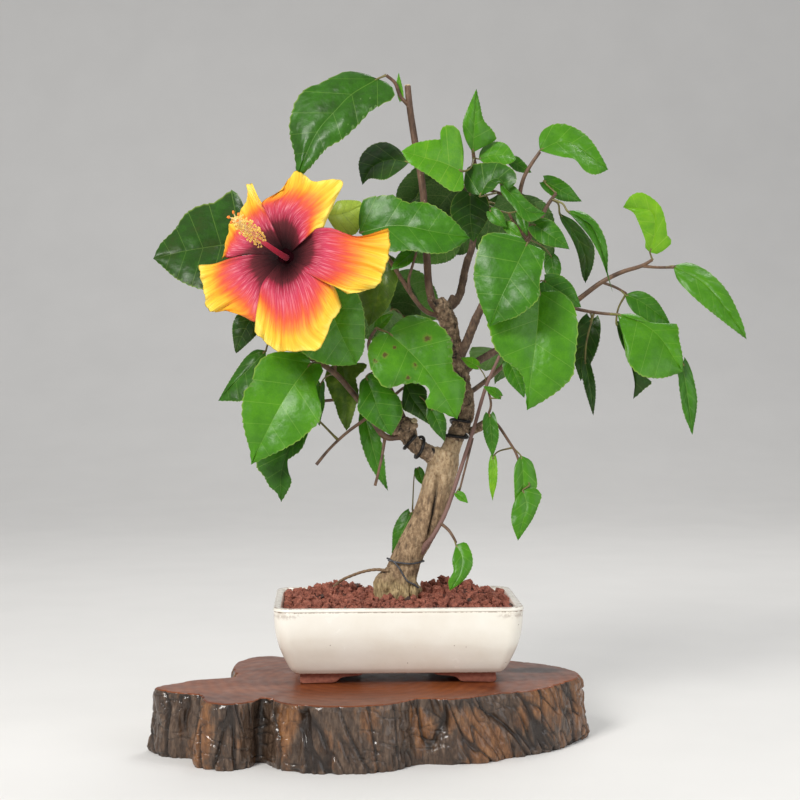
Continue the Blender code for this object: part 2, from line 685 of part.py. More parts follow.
BLOOM_TWIG = ((-1, 236, -14, 2.6), (-10, 240, -18, 2.6), (-23, 259, -24, 2.4), (-37, 277, -26, 2.3),
              (-49, 290, -27, 2.3), (-62, 299, -27, 2.2), (-77, 307, -27, 2.1), (-86, 324, -27, 2.0))
LEAF_TWIGS = (((-77, 307, -27, 1.7), (-92, 322, -10, 1.6), (-108, 350, 2, 1.5), (-119, 380, 6, 1.3)),
              ((-49, 290, -27, 1.6), (-50, 312, -24, 1.4), (-54, 336, -26, 1.3), (-58, 352, -30, 1.2)))
BARE_TWIGS = (((-21, 256, -23, 1.4), (-39, 243, -26, 1.2), (-53, 230, -30, 1.1), (-64, 217, -33, 1.3)),
              ((-9, 239, -17, 1.4), (-11, 226, -22, 1.2), (-14, 212, -24, 1.1), (-17, 200, -24, 1.2)))
BLOOM_LEAVES = (
    ((-123, 394, 2), (-192, 381, -8), 68, 8, 0.07),
    ((-67, 298, -34), (-115, 217, -48), 62, -6, 0.07),
    ((-77, 258, -14), (-92, 188, -26), 38, 12, 0.05),
    ((-107, 311, -6), (-142, 268, -14), 30, 15, 0.05),
    ((-112, 340, 8), (-128, 306, 6), 22, 10, 0.05),
    ((-57, 356, -42), (-31, 296, -54), 48, -8, 0.06),
    ((-37, 300, -8), (-39, 244, -14), 34, 14, 0.05),
    ((-60, 282, -10), (-63, 248, -14), 11, 30, 0.03),
    ((-55, 410, 0), (-28, 424, 2), 26, 15, 0.04),
)


def make_bloom_shoot():
    path, radii = limb_path(BLOOM_TWIG, 2)
    CLEARED["bloom_shoot"] = limb_shape(path, radii, 5, CUT_GAP)
    settle(fuse("bloom", bloom_shapes(path), "bloom"))
    grow_mass("bloom_shoot", "left_bough", (BLOOM_TWIG, *LEAF_TWIGS, *BARE_TWIGS), BLOOM_LEAVES)


MASSES = {
    "top_leaves": (
        "cut_stem",
        (
            ((5.6, 503, -1, 1.6), (3, 511, -3, 1.5), (-1, 521, -5, 1.4), (-8, 527, -6, 1.3)),
        ),
        (
            ((-16, 525, -6), (-79, 452, -22), 58, 6, 0.09),
            ((4, 507, -2), (1, 529, -3), 5, 0, 0.0),
        ),
    ),
    "upper_leaves": (
        "upper_bough",
        (
            ((63, 421, 14, 2.2), (63.5, 432, 12, 2.1), (64, 447, 8, 1.9), (62, 462, 4, 1.6),
             (61, 470, 0, 1.3)),
            ((63.5, 432, 12, 1.6), (52, 440, 10, 1.4), (36, 447, 8, 1.3), (16, 456, 8, 1.2)),
            ((64, 440, 9, 1.5), (76, 436, -4, 1.4), (86, 433, -14, 1.2)),
        ),
        (
            ((53, 452, -24), (4, 468, -36), 52, -10, 0.06),
            ((61, 471, -4), (64, 519, -8), 27, 20, 0.05),
            ((68, 460, -2), (97, 470, -4), 22, -20, 0.05),
            ((90, 461, 16), (108, 450, 18), 11, 10, 0.03),
            ((65, 432, -22), (97, 454, -30), 27, -15, 0.08),
            ((87, 438, -28), (120, 419, -36), 24, 20, 0.1),
            ((59, 434, 16), (60, 395, 18), 30, 10, 0.06),
            ((7, 460, 10), (-29, 440, 12), 32, 25, 0.06),
        ),
    ),
    "upper_right_leaves": (
        "centre_bough",
        (
            ((97, 386.5, -8, 2.6), (103, 394, -9, 2.4), (107, 402, -9, 2.2), (102, 418, -8, 1.9),
             (99, 432, -8, 1.8), (102, 446, -10, 1.6), (108, 457, -12, 1.5), (115, 467, -13, 1.3)),
            ((106, 400, -9, 1.9), (114, 411, -6, 1.8), (121, 424, -4, 1.6), (128, 434, -2, 1.3)),
            ((105, 397, -9, 1.5), (96, 408, -16, 1.4), (90, 418, -20, 1.2)),
        ),
        (
            ((116, 468, -13), (171, 452, -26), 34, -5, 0.08),
            ((118, 444, 4), (148, 426, 8), 15, 20, 0.06),
            ((133, 421, 10), (150, 361, 14), 25, 15, 0.06),
            ((138, 422, -10), (174, 353, -20), 27, -18, 0.09),
            ((110, 409, -24), (138, 388, -32), 19, 10, 0.1),
            ((124, 384, 0), (128, 359, -4), 13, 15, 0.04),
            ((75, 420, -24), (88, 406, -30), 11, 20, 0.08),
            ((87, 409, -24), (101, 399, -30), 9, 15, 0.08),
            ((99, 420, -20), (105, 400, -26), 9, 10, 0.05),
        ),
    ),
    "centre_leaves": (
        "centre_bough",
        (
            ((83, 362, -14.4, 1.9), (88, 364, -24, 1.8), (98, 372, -36, 1.6), (104, 382, -46, 1.4),
             (103, 394, -54, 1.2)),
            ((92, 366, -28, 1.5), (102, 362, -38, 1.4), (112, 358, -42, 1.3)),
            ((88, 364, -22, 1.2), (92, 340, -16, 1.1), (90, 302, -14, 1.0)),
        ),
        (
            ((103, 394, -58), (74, 328, -70), 56, 6, 0.1),
            ((113, 355, -44), (105, 260, -62), 70, -5, 0.07),
            ((118, 364, -30), (148, 342, -34), 22, 10, 0.06),
            ((90, 301, -14), (103, 270, -18), 15, 10, 0.05),
        ),
    ),
    "right_leaves": (
        "right_bough",
        (
            ((138.5, 342.5, 9.5, 2.3), (150, 352, 4, 2.1), (165, 363, -2, 1.9), (181, 371, -6, 1.8),
             (197, 376, -8, 1.6), (206, 381, -9, 1.2)),
            ((197, 376, -8, 1.3), (210, 375, -10, 1.2), (224, 375, -12, 1.1)),
            ((139, 343, 9, 1.6), (152, 340, 2, 1.4), (166, 338, -6, 1.3), (179, 337, -12, 1.2)),
            ((165, 363, -2, 1.2), (176, 359, 4, 1.1), (185, 354, 6, 1.0)),
        ),
        (
            ((201, 387, -12), (181, 424, -18), 32, -30, 0.06),
            ((224, 375, -12), (282, 317, -40), 28, -8, 0.07),
            ((185, 354, 4), (221, 328, -4), 27, 10, 0.06),
            ((179, 337, -14), (236, 288, -28), 46, -5, 0.06),
            ((230, 299, -18), (237, 240, -26), 16, -25, 0.05),
            ((177, 334, 16), (192, 268, 14), 24, 15, 0.05),
            ((157, 334, 20), (146, 284, 20), 21, 10, 0.06),
            ((152, 300, 4), (161, 256, 0), 9, 20, 0.05),
        ),
    ),
    "left_centre_leaves": (
        "leader",
        (
            ((31.2, 334, -1, 2.0), (23, 340, -4, 1.9), (12, 353, -4, 1.8), (-8, 384, -2, 1.6),
             (-22, 398, -6, 1.4), (-28, 406, -12, 1.2)),
            ((12, 353, -4, 1.3), (10, 364, -10, 1.2), (13, 376, -14, 1.1), (16, 386, -16, 1.0)),
        ),
        (
            ((-28, 407, -16), (61, 399, -36), 46, 8, 0.07),
            ((-9, 388, 10), (-22, 327, 8), 30, 12, 0.05),
            ((15, 388, -8), (-4, 372, -14), 14, 10, 0.04),
        ),
    ),
    "low_left_leaves": (
        "left_bough",
        (
            ((4, 258.5, -13, 2.0), (0, 268, -15, 1.9), (-8, 284, -18, 1.8), (-18, 300, -22, 1.6),
             (-22, 314, -28, 1.4), (-16, 326, -34, 1.2)),
            ((-2, 272, -16, 1.3), (4, 277, -20, 1.1), (7, 279, -22, 1.0)),
            ((-8, 284, -18, 1.3), (-18, 283, -14, 1.2), (-24, 278, -10, 1.1)),
        ),
        (
            ((-7, 324, -42), (49, 252, -56), 64, 0, 0.07),
            ((7, 279, -26), (27, 248, -32), 28, 8, 0.05),
            ((-23, 286, -34), (-3, 242, -42), 28, -6, 0.06),
            ((-25, 256, -4), (-8, 195, -12), 15, 15, 0.06),
            ((28, 262, -30), (40, 236, -34), 13, 10, 0.04),
            ((-16, 326, -30), (-2, 338, -34), 9, 0, 0.04),
        ),
    ),
    "low_right_leaves": (
        "foot_shoot",
        (
            ((65.8, 246, -14.6, 1.4), (72, 252, -17, 1.3), (80, 250, -20, 1.2), (90, 236, -22, 1.1),
             (97, 224, -24, 1.0), (102, 206, -24, 0.9)),
            ((72, 252, -17, 1.1), (76, 264, -14, 1.0), (74, 276, -10, 0.9)),
        ),
        (
            ((97, 223, -24), (98, 187, -30), 20, -20, 0.06),
            ((109, 196, -26), (98, 155, -34), 25, -12, 0.07),
            ((75, 257, -24), (78, 222, -28), 12, 20, 0.05),
            ((78, 223, -16), (79, 187, -20), 7, 20, 0.04),
            ((66, 295, -26), (52, 303, -28), 9, 0, 0.04),
            ((84, 271, -24), (70, 280, -26), 8, 0, 0.04),
        ),
    ),
    "foot_leaf_right": (
        "foot_shoot",
        (
            ((38.6, 168, -17, 1.3), (42, 164, -20, 1.2), (46, 158, -24, 1.1), (48, 154, -28, 1.0)),
        ),
        (
            ((48, 154, -30), (41, 113, -44), 24, -8, 0.08),
        ),
    ),
    "foot_leaf_back": (
        "trunk",
        (
            ((18, 175, 15.6, 1.3), (16, 179, 20, 1.2), (13, 180, 22, 1.0)),
        ),
        (
            ((12, 178, 22), (-2, 144, 20), 16, 14, 0.06),
            ((17, 214, 20), (22, 200, 20), 8, 10, 0.04),
        ),
    ),
}

# Behind the limbs the crown is filled out by a rule. Each mass has a stem that runs back from its
# bough; leaves go round it by the golden angle, hanging outwards, and one that would leave the
# mass's own space (lowest and highest across, up and depth) is left out.
GOLDEN = math.radians(137.5)
GOLDEN_SHARE = 0.618
BACK_TRIES = 60
BACK_MASSES = {
    "back_left_leaves": (
        "leader",
        ((49, 300, 11.4, 2.2), (47, 302, 18, 2.1), (32, 312, 30, 2.0), (6, 334, 42, 1.8),
         (-26, 356, 54, 1.6), (-58, 372, 58, 1.3)),
        ((-145, 310, 12), (64, 446, 104)), 10, 5,
    ),
    "back_low_leaves": (
        "leader",
        ((53, 262, 11, 2.0), (40, 266, 26, 1.9), (8, 266, 40, 1.7), (-28, 270, 48, 1.5),
         (-58, 268, 52, 1.3)),
        ((-112, 254, 12), (54, 348, 96)), 8, 8,
    ),
    "back_right_leaves": (
        "leader",
        ((57, 272, 11.8, 2.2), (72, 284, 28, 2.0), (96, 304, 42, 1.8), (124, 322, 52, 1.6),
         (146, 330, 54, 1.3)),
        ((62, 276, 12), (152, 392, 104)), 9, 3,
    ),
    "back_top_leaves": (
        "upper_bough",
        ((57, 374, 20.4, 2.0), (60, 388, 34, 1.9), (64, 412, 46, 1.7), (68, 438, 50, 1.4),
         (70, 452, 50, 1.2)),
        ((-14, 370, 12), (138, 488, 100)), 10, 9,
    ),
}
BACK_FACING = (0.0, 0.78, 0.62)


def back_leaves(stem, space, count, seed):
    dice = random.Random(seed)
    rows = []
    for i in range(BACK_TRIES):
        share = 0.3 + 0.7 * (i * GOLDEN_SHARE % 1)
        at = share * (len(stem) - 1)
        low = min(int(at), len(stem) - 2)
        start = [p + (q - p) * (at - low) for p, q in zip(stem[low][:3], stem[low + 1][:3])]
        turn = GOLDEN * i + seed
        way = Vector((math.cos(turn), 0.55 * math.sin(turn), 0.35 + 0.45 * abs(math.sin(turn))))
        stalk, length = dice.uniform(12, 34), dice.uniform(50, 72)
        base = Vector(start) + way.normalized() * stalk
        tip = base + (way.normalized() + Vector((0, -0.85, 0.1))).normalized() * length
        reach = [base, tip, (base + tip) / 2]
        if all(low <= value <= high for p in reach for low, value, high in zip(space[0], p, space[1])):
            rows.append((tuple(base), tuple(tip), length * dice.uniform(0.7, 0.8), dice.uniform(-25, 25),
                         0.07, 14.0, BACK_FACING))
    return rows[:count]


def make_masses():
    make_bloom_shoot()
    for name, (carrier, twigs, leaves) in MASSES.items():
        grow_mass(name, carrier, twigs, leaves)
    for name, (carrier, stem, space, count, seed) in BACK_MASSES.items():
        grow_mass(name, carrier, (stem,), back_leaves(stem, space, count, seed))


make_slab()
make_pot()
make_soil()
make_limbs()
make_wires()
make_masses()
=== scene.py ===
import json
import math
import random
from bisect import bisect
from contextlib import contextmanager
from itertools import product

import bmesh
import bpy
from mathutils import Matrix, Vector, noise
from mathutils.bvhtree import BVHTree
from mathutils.kdtree import KDTree

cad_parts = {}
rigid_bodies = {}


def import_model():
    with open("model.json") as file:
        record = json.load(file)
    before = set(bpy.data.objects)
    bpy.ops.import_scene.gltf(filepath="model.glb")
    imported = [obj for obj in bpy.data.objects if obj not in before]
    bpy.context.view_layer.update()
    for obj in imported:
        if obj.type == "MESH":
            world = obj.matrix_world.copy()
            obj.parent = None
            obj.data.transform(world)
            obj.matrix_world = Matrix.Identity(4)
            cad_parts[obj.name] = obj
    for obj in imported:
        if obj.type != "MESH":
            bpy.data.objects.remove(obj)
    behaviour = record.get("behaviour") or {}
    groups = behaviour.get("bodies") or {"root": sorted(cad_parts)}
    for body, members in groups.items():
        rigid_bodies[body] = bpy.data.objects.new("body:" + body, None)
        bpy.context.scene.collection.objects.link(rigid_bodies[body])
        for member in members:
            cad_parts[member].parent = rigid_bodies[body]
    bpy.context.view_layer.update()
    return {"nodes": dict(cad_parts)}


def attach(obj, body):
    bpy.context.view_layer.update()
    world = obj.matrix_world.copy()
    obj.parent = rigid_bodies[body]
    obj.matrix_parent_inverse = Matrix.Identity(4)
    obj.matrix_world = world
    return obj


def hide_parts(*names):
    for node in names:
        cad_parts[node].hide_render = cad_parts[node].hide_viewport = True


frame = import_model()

# --- The display slab -----------------------------------------------------------------------------
# A slice of a hardwood log, sawn flat above and below, its top oiled and its bark left on under
# varnish. It is lofted through the sawn outline in millimetres, and furrows are carved down the bark.

MM = 0.001
SLAB_OUTLINE = (
    (-189, -50), (-178, -36), (-160, -21), (-130, -8), (-133, 28), (-129, 60), (-107, 80), (-78, 66),
    (-45, 66), (0, 70), (40, 66), (84, 56), (124, 33), (145, 5), (146, -20), (130, -45), (103, -72),
    (70, -85), (40, -101), (14, -99), (-14, -119), (-60, -123), (-86, -112), (-102, -93), (-112, -104),
    (-130, -112), (-147, -101), (-154, -78), (-172, -70))
SLAB_MIDDLE = Vector((-20.0, -20.0, 0.0))
SLAB_TOP = 49.0
SLAB_SPREAD = ((0.0, 1.035), (4.0, 1.045), (26.0, 1.02), (45.0, 1.005), (49.0, 0.99))
SLAB_ROWS = 60
SPAN_STEPS = 38
FURROW_DEEP = 2.6
PLATE_BULGE = 2.3
EDGE_ROUND = 0.8
# Folds of the bark: x, y, height, lean, width and tallness, then how far it stands out there.
FOLDS = (
    ((-37, -121, 22, 0.0, 27, 26), 2.2), ((62, -92, 6, -0.5, 17, 20), 7.5),
    ((-122, -108, 20, 0.0, 12, 40), 1.5), ((-75, -119, 25, 0.16, 4.5, 60), -5.5),
    ((-105, -94, 25, 0.0, 6, 60), -4.0), ((-151, -88, 25, 0.0, 3.2, 60), -3.5),
    ((-6, -104, 25, 0.05, 2.4, 60), -2.6), ((-170, -70, 25, 0.0, 2.2, 60), -2.4),
    ((30, -101, 28, -0.6, 7, 30), -3.0), ((92, -80, 22, -0.55, 4, 50), -3.0),
    ((-182, -52, 22, 0.0, 26, 60), -1.8))
AMBER = ((-146, -103, 25, 0, 10, 60), (-82, -112, 25, 0, 8, 60), (62, -92, 12, -0.5, 20, 24),
         (14, -100, 34, -0.4, 9, 14), (112, -62, 40, 0, 22, 22), (146, -20, 30, 0, 22, 30),
         (-150, 0, 25, 0, 20, 30), (40, 66, 25, 0, 30, 40))


def catmull(a, b, c, d, u):
    return 0.5 * (2 * b + (c - a) * u + (2 * a - 5 * b + 4 * c - d) * u**2
                  + (3 * b - a - 3 * c + d) * u**3)


def closed_curve(points, steps):
    count = len(points)
    return [catmull(points[i - 1], points[i], points[(i + 1) % count], points[(i + 2) % count], j / steps)
            for i in range(count) for j in range(steps)]


def between(table, at):
    """The value at a place in a table of (place, value) rows, straight between its rows."""
    for (low, a), (high, b) in zip(table, table[1:]):
        if at <= high:
            return a + (b - a) * (at - low) / (high - low)
    return table[-1][1]


def clamped(value):
    return max(0.0, min(1.0, value))


def put_in_scene(name, data):
    made = bpy.data.objects.new(name, data)
    bpy.context.scene.collection.objects.link(made)
    return made


def piece(name, points, faces, finishes, kinds=None, marks=None):
    """A smooth mesh at the origin from points in metres. kinds gives each face its finish, and marks
    gives each point a number that the finish reads by name."""
    mesh = bpy.data.meshes.new(name)
    mesh.from_pydata([tuple(p) for p in points], [], faces)
    for finish in finishes:
        mesh.materials.append(finish)
    if kinds:
        mesh.polygons.foreach_set("material_index", kinds)
    for label, values in (marks or {}).items():
        mesh.attributes.new(label, "FLOAT", "POINT").data.foreach_set("value", values)
    mesh.shade_smooth()
    return put_in_scene(name, mesh)


def belongs(slot, nodes, *pieces):
    """Hides the solids of the frame that the pieces stand for, and fixes each piece to the root body; the slot is
    not used.
    """
    for made in pieces:
        if nodes:
            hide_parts(*nodes)
        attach(made, "root")


def ring_faces(rows, count):
    """The faces of a tube of rings, with its ends closed."""
    faces = []
    for low in range(0, (rows - 1) * count, count):
        high = low + count
        faces += [(low + i, low + (i + 1) % count, high + (i + 1) % count, high + i) for i in range(count)]
    return [*faces, tuple(reversed(range(count))), tuple(range((rows - 1) * count, rows * count))]


def add_node(tree, kind, inputs, out, settings):
    """A node with its settings, its inputs given as values or as the sockets that feed them."""
    node = tree.nodes.new(kind)
    for label, value in settings.items():
        setattr(node, label, value)
    for label, value in (inputs or {}).items():
        if isinstance(value, bpy.types.NodeSocket):
            tree.links.new(value, node.inputs[label])
        else:
            node.inputs[label].default_value = value
    return node.outputs[out]


class Finish:
    """A material being put together: a Principled shader and the nodes that feed it. Patterns are
    laid out in millimetres of the piece's own space."""

    def __init__(self, name, **sockets):
        self.material = bpy.data.materials.new(name)
        self.material.use_nodes = True
        self.tree = self.material.node_tree
        self.shader = self.tree.nodes["Principled BSDF"]
        for label, value in sockets.items():
            self.shader.inputs[label.replace("_", " ")].default_value = value

    def add(self, kind, inputs=None, out=0, **settings):
        return add_node(self.tree, "ShaderNode" + kind, inputs, out, settings)

    def place(self, stretch=(1, 1, 1), shift=(0, 0, 0)):
        """Object coordinates in millimetres, divided by the stretch."""
        scale = [1000.0 / s for s in stretch]
        return self.add("Mapping", {"Vector": self.add("TexCoord", out="Object"), "Scale": scale,
                                    "Location": shift})

    def noise(self, place, size, detail=3, roughness=0.55, distortion=0.0):
        return self.add("TexNoise", {"Vector": place, "Scale": 1.0 / size, "Detail": detail,
                                     "Roughness": roughness, "Distortion": distortion})

    def cells(self, place, size, out="Distance", **settings):
        return self.add("TexVoronoi", {"Vector": place, "Scale": 1 / size}, out=out, **settings)

    def mark(self, label):
        return self.add("Attribute", out="Fac", attribute_name=label)

    def math(self, operation, first, second):
        return self.add("Math", {0: first, 1: second}, operation=operation)

    def span(self, value, low, high, to_low=0.0, to_high=1.0):
        return self.add("MapRange", {"Value": value, "From Min": low, "From Max": high,
                                     "To Min": to_low, "To Max": to_high})

    def ramp(self, value, *stops):
        """Colours at places from 0 to 1."""
        node = self.add("ValToRGB", {"Fac": value}).node
        ramp = node.color_ramp
        for k, (at, colour) in enumerate(stops):
            stop = ramp.elements[k] if k < 2 else ramp.elements.new(at)
            stop.position, stop.color = at, (*colour, 1.0)
        return node.outputs[0]

    def mix(self, share, first, second):
        whole = [(*c, 1.0) if isinstance(c, tuple) else c for c in (first, second)]
        return self.add("Mix", {0: share, 6: whole[0], 7: whole[1]}, out=2, data_type="RGBA")

    def paint(self, colour):
        self.tree.links.new(colour, self.shader.inputs["Base Color"])

    def rough(self, value):
        self.tree.links.new(value, self.shader.inputs["Roughness"])

    def bump(self, height, distance):
        """Relief of that many millimetres, on top of any given before."""
        normal = self.shader.inputs["Normal"]
        inputs = {"Height": height, "Distance": distance * MM, "Strength": 1.0}
        if normal.links:
            inputs["Normal"] = normal.links[0].from_socket
        self.tree.links.new(self.add("Bump", inputs), normal)


def near_fold(fold, place):
    """How strongly a fold or swelling of the bark acts at a place, from 0 to 1. A fold is its x, y
    and height, its lean, and how wide and how tall it is."""
    x, y, z, lean, wide, tall = fold
    along = math.hypot(place.x - x - lean * (place.z - z), place.y - y)
    return math.exp(-((along / wide) ** 2) - ((place.z - z) / tall) ** 2)


def grain(x, y, z, wide, tall):
    """Noise drawn out along the height, from -1 to 1."""
    return noise.noise(Vector((x / wide, y / wide, z / tall)))


def along_bark(place):
    """A place with the bark's slant taken out: it grows upright at the left and slanted at the right."""
    slant = 0.12 + 0.55 * clamped((place.x + 10) / 90) + 0.3 * noise.noise(place / 70)
    return place.x + slant * (place.z - 25), place.y, place.z


def bark_furrow(place):
    """How deep the bark is split at a place in millimetres: 0 on a plate, 1 and over in a crack."""
    x, y, z = along_bark(place)
    crack = max(0.0, 1 - abs(grain(x, y, z, 24, 75)) / 0.11) ** 1.3
    fine = max(0.0, 1 - abs(noise.noise(Vector((x / 8.5, y / 8.5, z / 38 + 7)))) / 0.17)
    some = clamped(0.5 + 2.4 * noise.noise(place / 34 + Vector((3, 8, 1))) + 0.5 * clamped((place.x - 60) / 30))
    across = max(0.0, 1 - abs(grain(x, y, z, 22, 7)) / 0.10)
    return crack + 0.9 * some * fine + 0.5 * (1 - some) * across


def bark_plate(place):
    """How far the bark's plates stand out at a place in millimetres, between about -1 and 1."""
    at = along_bark(place)
    return (grain(*at, 19, 34) + 0.42 * grain(*at, 5.5, 26) + 0.22 * grain(*at, 3.4, 8)
            + 0.13 * grain(*at, 1.5, 5))


def slab_rings():
    outline = closed_curve([Vector((x, y, 0)) for x, y in SLAB_OUTLINE], SPAN_STEPS)
    count = len(outline)
    outward = []
    for i, point in enumerate(outline):
        way = outline[(i + 1) % count] - outline[i - 1]
        outward.append(Vector((way.y, -way.x, 0)).normalized())
    if sum(o.dot(p - SLAB_MIDDLE) for o, p in zip(outward, outline)) < 0:
        outward = [-o for o in outward]
    points, shade_depths, ambers = [], [], []
    for row in range(SLAB_ROWS + 1):
        last = row == SLAB_ROWS
        height = SLAB_TOP if last else (SLAB_TOP - EDGE_ROUND) * row / (SLAB_ROWS - 1)
        sawn = 1 - 0.55 * max(0.0, (height - 40) / 9) ** 2
        for point, way in zip(outline, outward):
            place = SLAB_MIDDLE + (point - SLAB_MIDDLE) * between(SLAB_SPREAD, height)
            place.z = height
            furrow = bark_furrow(place)
            fold = sum(near_fold(where, place) * far for where, far in FOLDS)
            push = (PLATE_BULGE * bark_plate(place) - FURROW_DEEP * min(1.2, furrow) + fold) * sawn
            push -= EDGE_ROUND * last
            points.append((place + way * push) * MM)
            # Painted shade: the finish darkens the bark down its furrows and in the hollows between its plates
            # and folds.
            hollow = 0.25 * max(0.0, -bark_plate(place)) + 0.16 * max(0.0, -fold)
            shade_depths.append(0.0 if last else min(1.0, furrow + hollow))
            ambers.append(max(near_fold(where, place) for where in AMBER))
    return points, shade_depths, ambers, count


def slab_bark():
    finish = Finish("varnished_bark", Roughness=0.45, Specular_IOR_Level=0.25, Coat_Weight=0.6,
                    Coat_Roughness=0.10)
    place = finish.place((1, 1, 4))
    streaks = finish.noise(place, 3.4, 6, 0.68, 0.4)
    patches = finish.noise(finish.place((1, 1, 2)), 15, 4, 0.6)
    brown = finish.ramp(streaks, (0.30, (0.022, 0.013, 0.009)), (0.50, (0.075, 0.045, 0.028)),
                        (0.66, (0.150, 0.097, 0.064)), (0.80, (0.27, 0.20, 0.145)))
    amber = finish.ramp(streaks, (0.28, (0.055, 0.023, 0.010)), (0.48, (0.17, 0.072, 0.026)),
                        (0.66, (0.30, 0.14, 0.055)), (0.80, (0.42, 0.23, 0.115)))
    share = finish.math("ADD", finish.mark("amber"), finish.span(patches, 0.35, 0.65, -0.35, 0.45))
    mixed = finish.mix(finish.span(share, 0.20, 0.58), brown, amber)
    # Painted shade: the furrows and hollows are painted near black.
    split = finish.span(finish.mark("furrow"), 0.25, 0.95, 0.0, 0.9)
    finish.paint(finish.mix(split, mixed, (0.014, 0.008, 0.005)))
    finish.rough(finish.span(finish.noise(place, 2.5, 3), 0.3, 0.7, 0.24, 0.55))
    finish.bump(finish.noise(finish.place((1, 1, 7)), 0.9, 5, 0.7), 0.5)
    finish.bump(finish.noise(finish.place((1, 1, 1.5)), 2.2, 5, 0.6), 0.5)
    return finish.material


def slab_polish():
    finish = Finish("oiled_hardwood", Roughness=0.4, Specular_IOR_Level=0.35, Coat_Weight=0.22,
                    Coat_Roughness=0.1)
    place = finish.place(shift=(30, 25, 0))
    wander = finish.noise(finish.place((2.4, 1, 1)), 34, 5, 0.6, 0.5)
    rings = finish.add("TexWave", {"Vector": place, "Scale": 0.034, "Distortion": 7.0, "Detail": 3.0,
                                   "Detail Scale": 0.3, "Detail Roughness": 0.6},
                       out="Fac", wave_type="RINGS", rings_direction="Z", wave_profile="SIN")
    tone = finish.math("ADD", finish.math("MULTIPLY", rings, 0.10), finish.math("MULTIPLY", wander, 0.90))
    wood = finish.ramp(tone, (0.30, (0.100, 0.024, 0.007)), (0.52, (0.185, 0.047, 0.012)),
                       (0.74, (0.30, 0.085, 0.022)))
    pores = finish.noise(finish.place(), 0.8, 3, 0.7)
    wood = finish.mix(finish.span(pores, 0.62, 0.78, 0.0, 0.4), wood, (0.09, 0.022, 0.008))
    figure = finish.add("TexGradient", {"Vector": finish.place((36, 17, 30), (-3.10, -0.35, -1.63))},
                        out="Fac", gradient_type="SPHERICAL")
    smoke = finish.noise(finish.place((2.2, 1, 1)), 8, 5, 0.7, 1.2)
    figure = finish.span(finish.math("MULTIPLY", figure, smoke), 0.10, 0.26, 0.0, 0.9)
    wood = finish.mix(figure, wood, (0.026, 0.008, 0.005))
    dust = finish.noise(finish.place((1.6, 1, 1)), 0.55, 2, 0.5)
    worn = finish.span(finish.noise(place, 22, 2), 0.45, 0.6)
    finish.paint(finish.mix(finish.math("MULTIPLY", finish.span(dust, 0.72, 0.76, 0.0, 0.6), worn), wood,
                            (0.55, 0.36, 0.26)))
    finish.rough(finish.span(finish.noise(place, 14, 4), 0.3, 0.7, 0.28, 0.45))
    finish.bump(pores, 0.03)
    return finish.material


slab_points, slab_shade_depths, slab_ambers, slab_count = slab_rings()
slab_faces = ring_faces(SLAB_ROWS + 1, slab_count)
slab_kinds = [0] * len(slab_faces)
slab_kinds[-2:] = [1, 1]
slab_kinds[-2 - slab_count:-2] = [1] * slab_count
slab = piece("display_slab_wood", slab_points, slab_faces, [slab_bark(), slab_polish()], slab_kinds,
             {"furrow": slab_shade_depths, "amber": slab_ambers})
for sawn in slab.data.polygons[-2:]:
    sawn.use_smooth = False
belongs("slab_wood", ["display_slab"], slab)

# --- The pot --------------------------------------------------------------------------------------
# Slip-cast stoneware with bellied sides and a rounded lip, in a cream glaze that breaks brown in the
# line under the lip and on its edges. Its two feet run across under its ends, unglazed and scalloped.

GAP = 0.3
FOOT_TALL = 8.0
RIM_HALF = (97.2, 60.8)
RIM_TOP = 110.4
POT_BASE = SLAB_TOP + GAP + FOOT_TALL
POT_BELLY = (  # height, how far inside the rim's outline, corner radius
    (POT_BASE + 1.2, 14.9, 6.0), (62.0, 12.2, 7.5), (69.5, 8.5, 9.5), (81.0, 4.0, 11.0),
    (93.0, 1.4, 12.5), (106.6, 0.4, 13.0))
POT_BOTTOM = ((POT_BASE, 21.0, 5.0), (POT_BASE, 17.4, 5.4), (POT_BASE + 0.3, 15.8, 5.8))
POT_BAND = ((107.0, 0.5, 13.0), (107.3, 0.62, 12.9), (107.6, 0.45, 13.0), (107.9, 0.12, 13.0),
            (108.3, 0.0, 13.0), (109.0, 0.05, 13.0), (109.8, 0.5, 12.8), (110.25, 1.2, 12.4),
            (RIM_TOP, 2.2, 11.8), (RIM_TOP, 4.0, 11.0), (110.1, 5.2, 10.2), (109.4, 6.0, 9.8),
            (108.1, 6.4, 9.6), (103.0, 7.4, 9.4), (97.0, 8.6, 9.2), (80.0, 12.5, 9.2),
            (65.0, 16.8, 9.2))
CORNER_STEPS, SIDE_STEPS, BELLY_STEPS = 16, 14, 6
SHARP_EDGE = 38  # degrees: sharper edges aren't shaded smooth
FOOT_ACROSS, FOOT_DEEP = (28.0, 76.8), 41.0
FOOT_OUTLINE = (  # from the middle of the pot outwards: across, height above the slab
    (28.0, 8.6), (28.3, 6.6), (31.0, 5.9), (36.0, 5.5), (41.0, 5.1), (44.5, 4.2), (46.6, 2.6),
    (48.6, 0.9), (51.5, 0.0), (74.8, 0.0), (76.4, 0.8), (76.8, 3.0), (76.0, 8.6))


def round_rect(half_x, half_y, corner, z):
    """A rectangle with round corners in metres, counter-clockwise, its sides divided as well."""
    bends = []
    for k, (sx, sy) in enumerate(((1, 1), (-1, 1), (-1, -1), (1, -1))):
        for i in range(CORNER_STEPS):
            turn = math.radians(90 * (k + i / (CORNER_STEPS - 1)))
            bends.append(Vector((sx * (half_x - corner) + corner * math.cos(turn),
                                 sy * (half_y - corner) + corner * math.sin(turn), z)))
    ring = []
    for i, point in enumerate(bends):
        ring.append(point)
        if i % CORNER_STEPS == CORNER_STEPS - 1:
            after = bends[(i + 1) % len(bends)]
            ring += [point.lerp(after, j / SIDE_STEPS) for j in range(1, SIDE_STEPS)]
    return ring


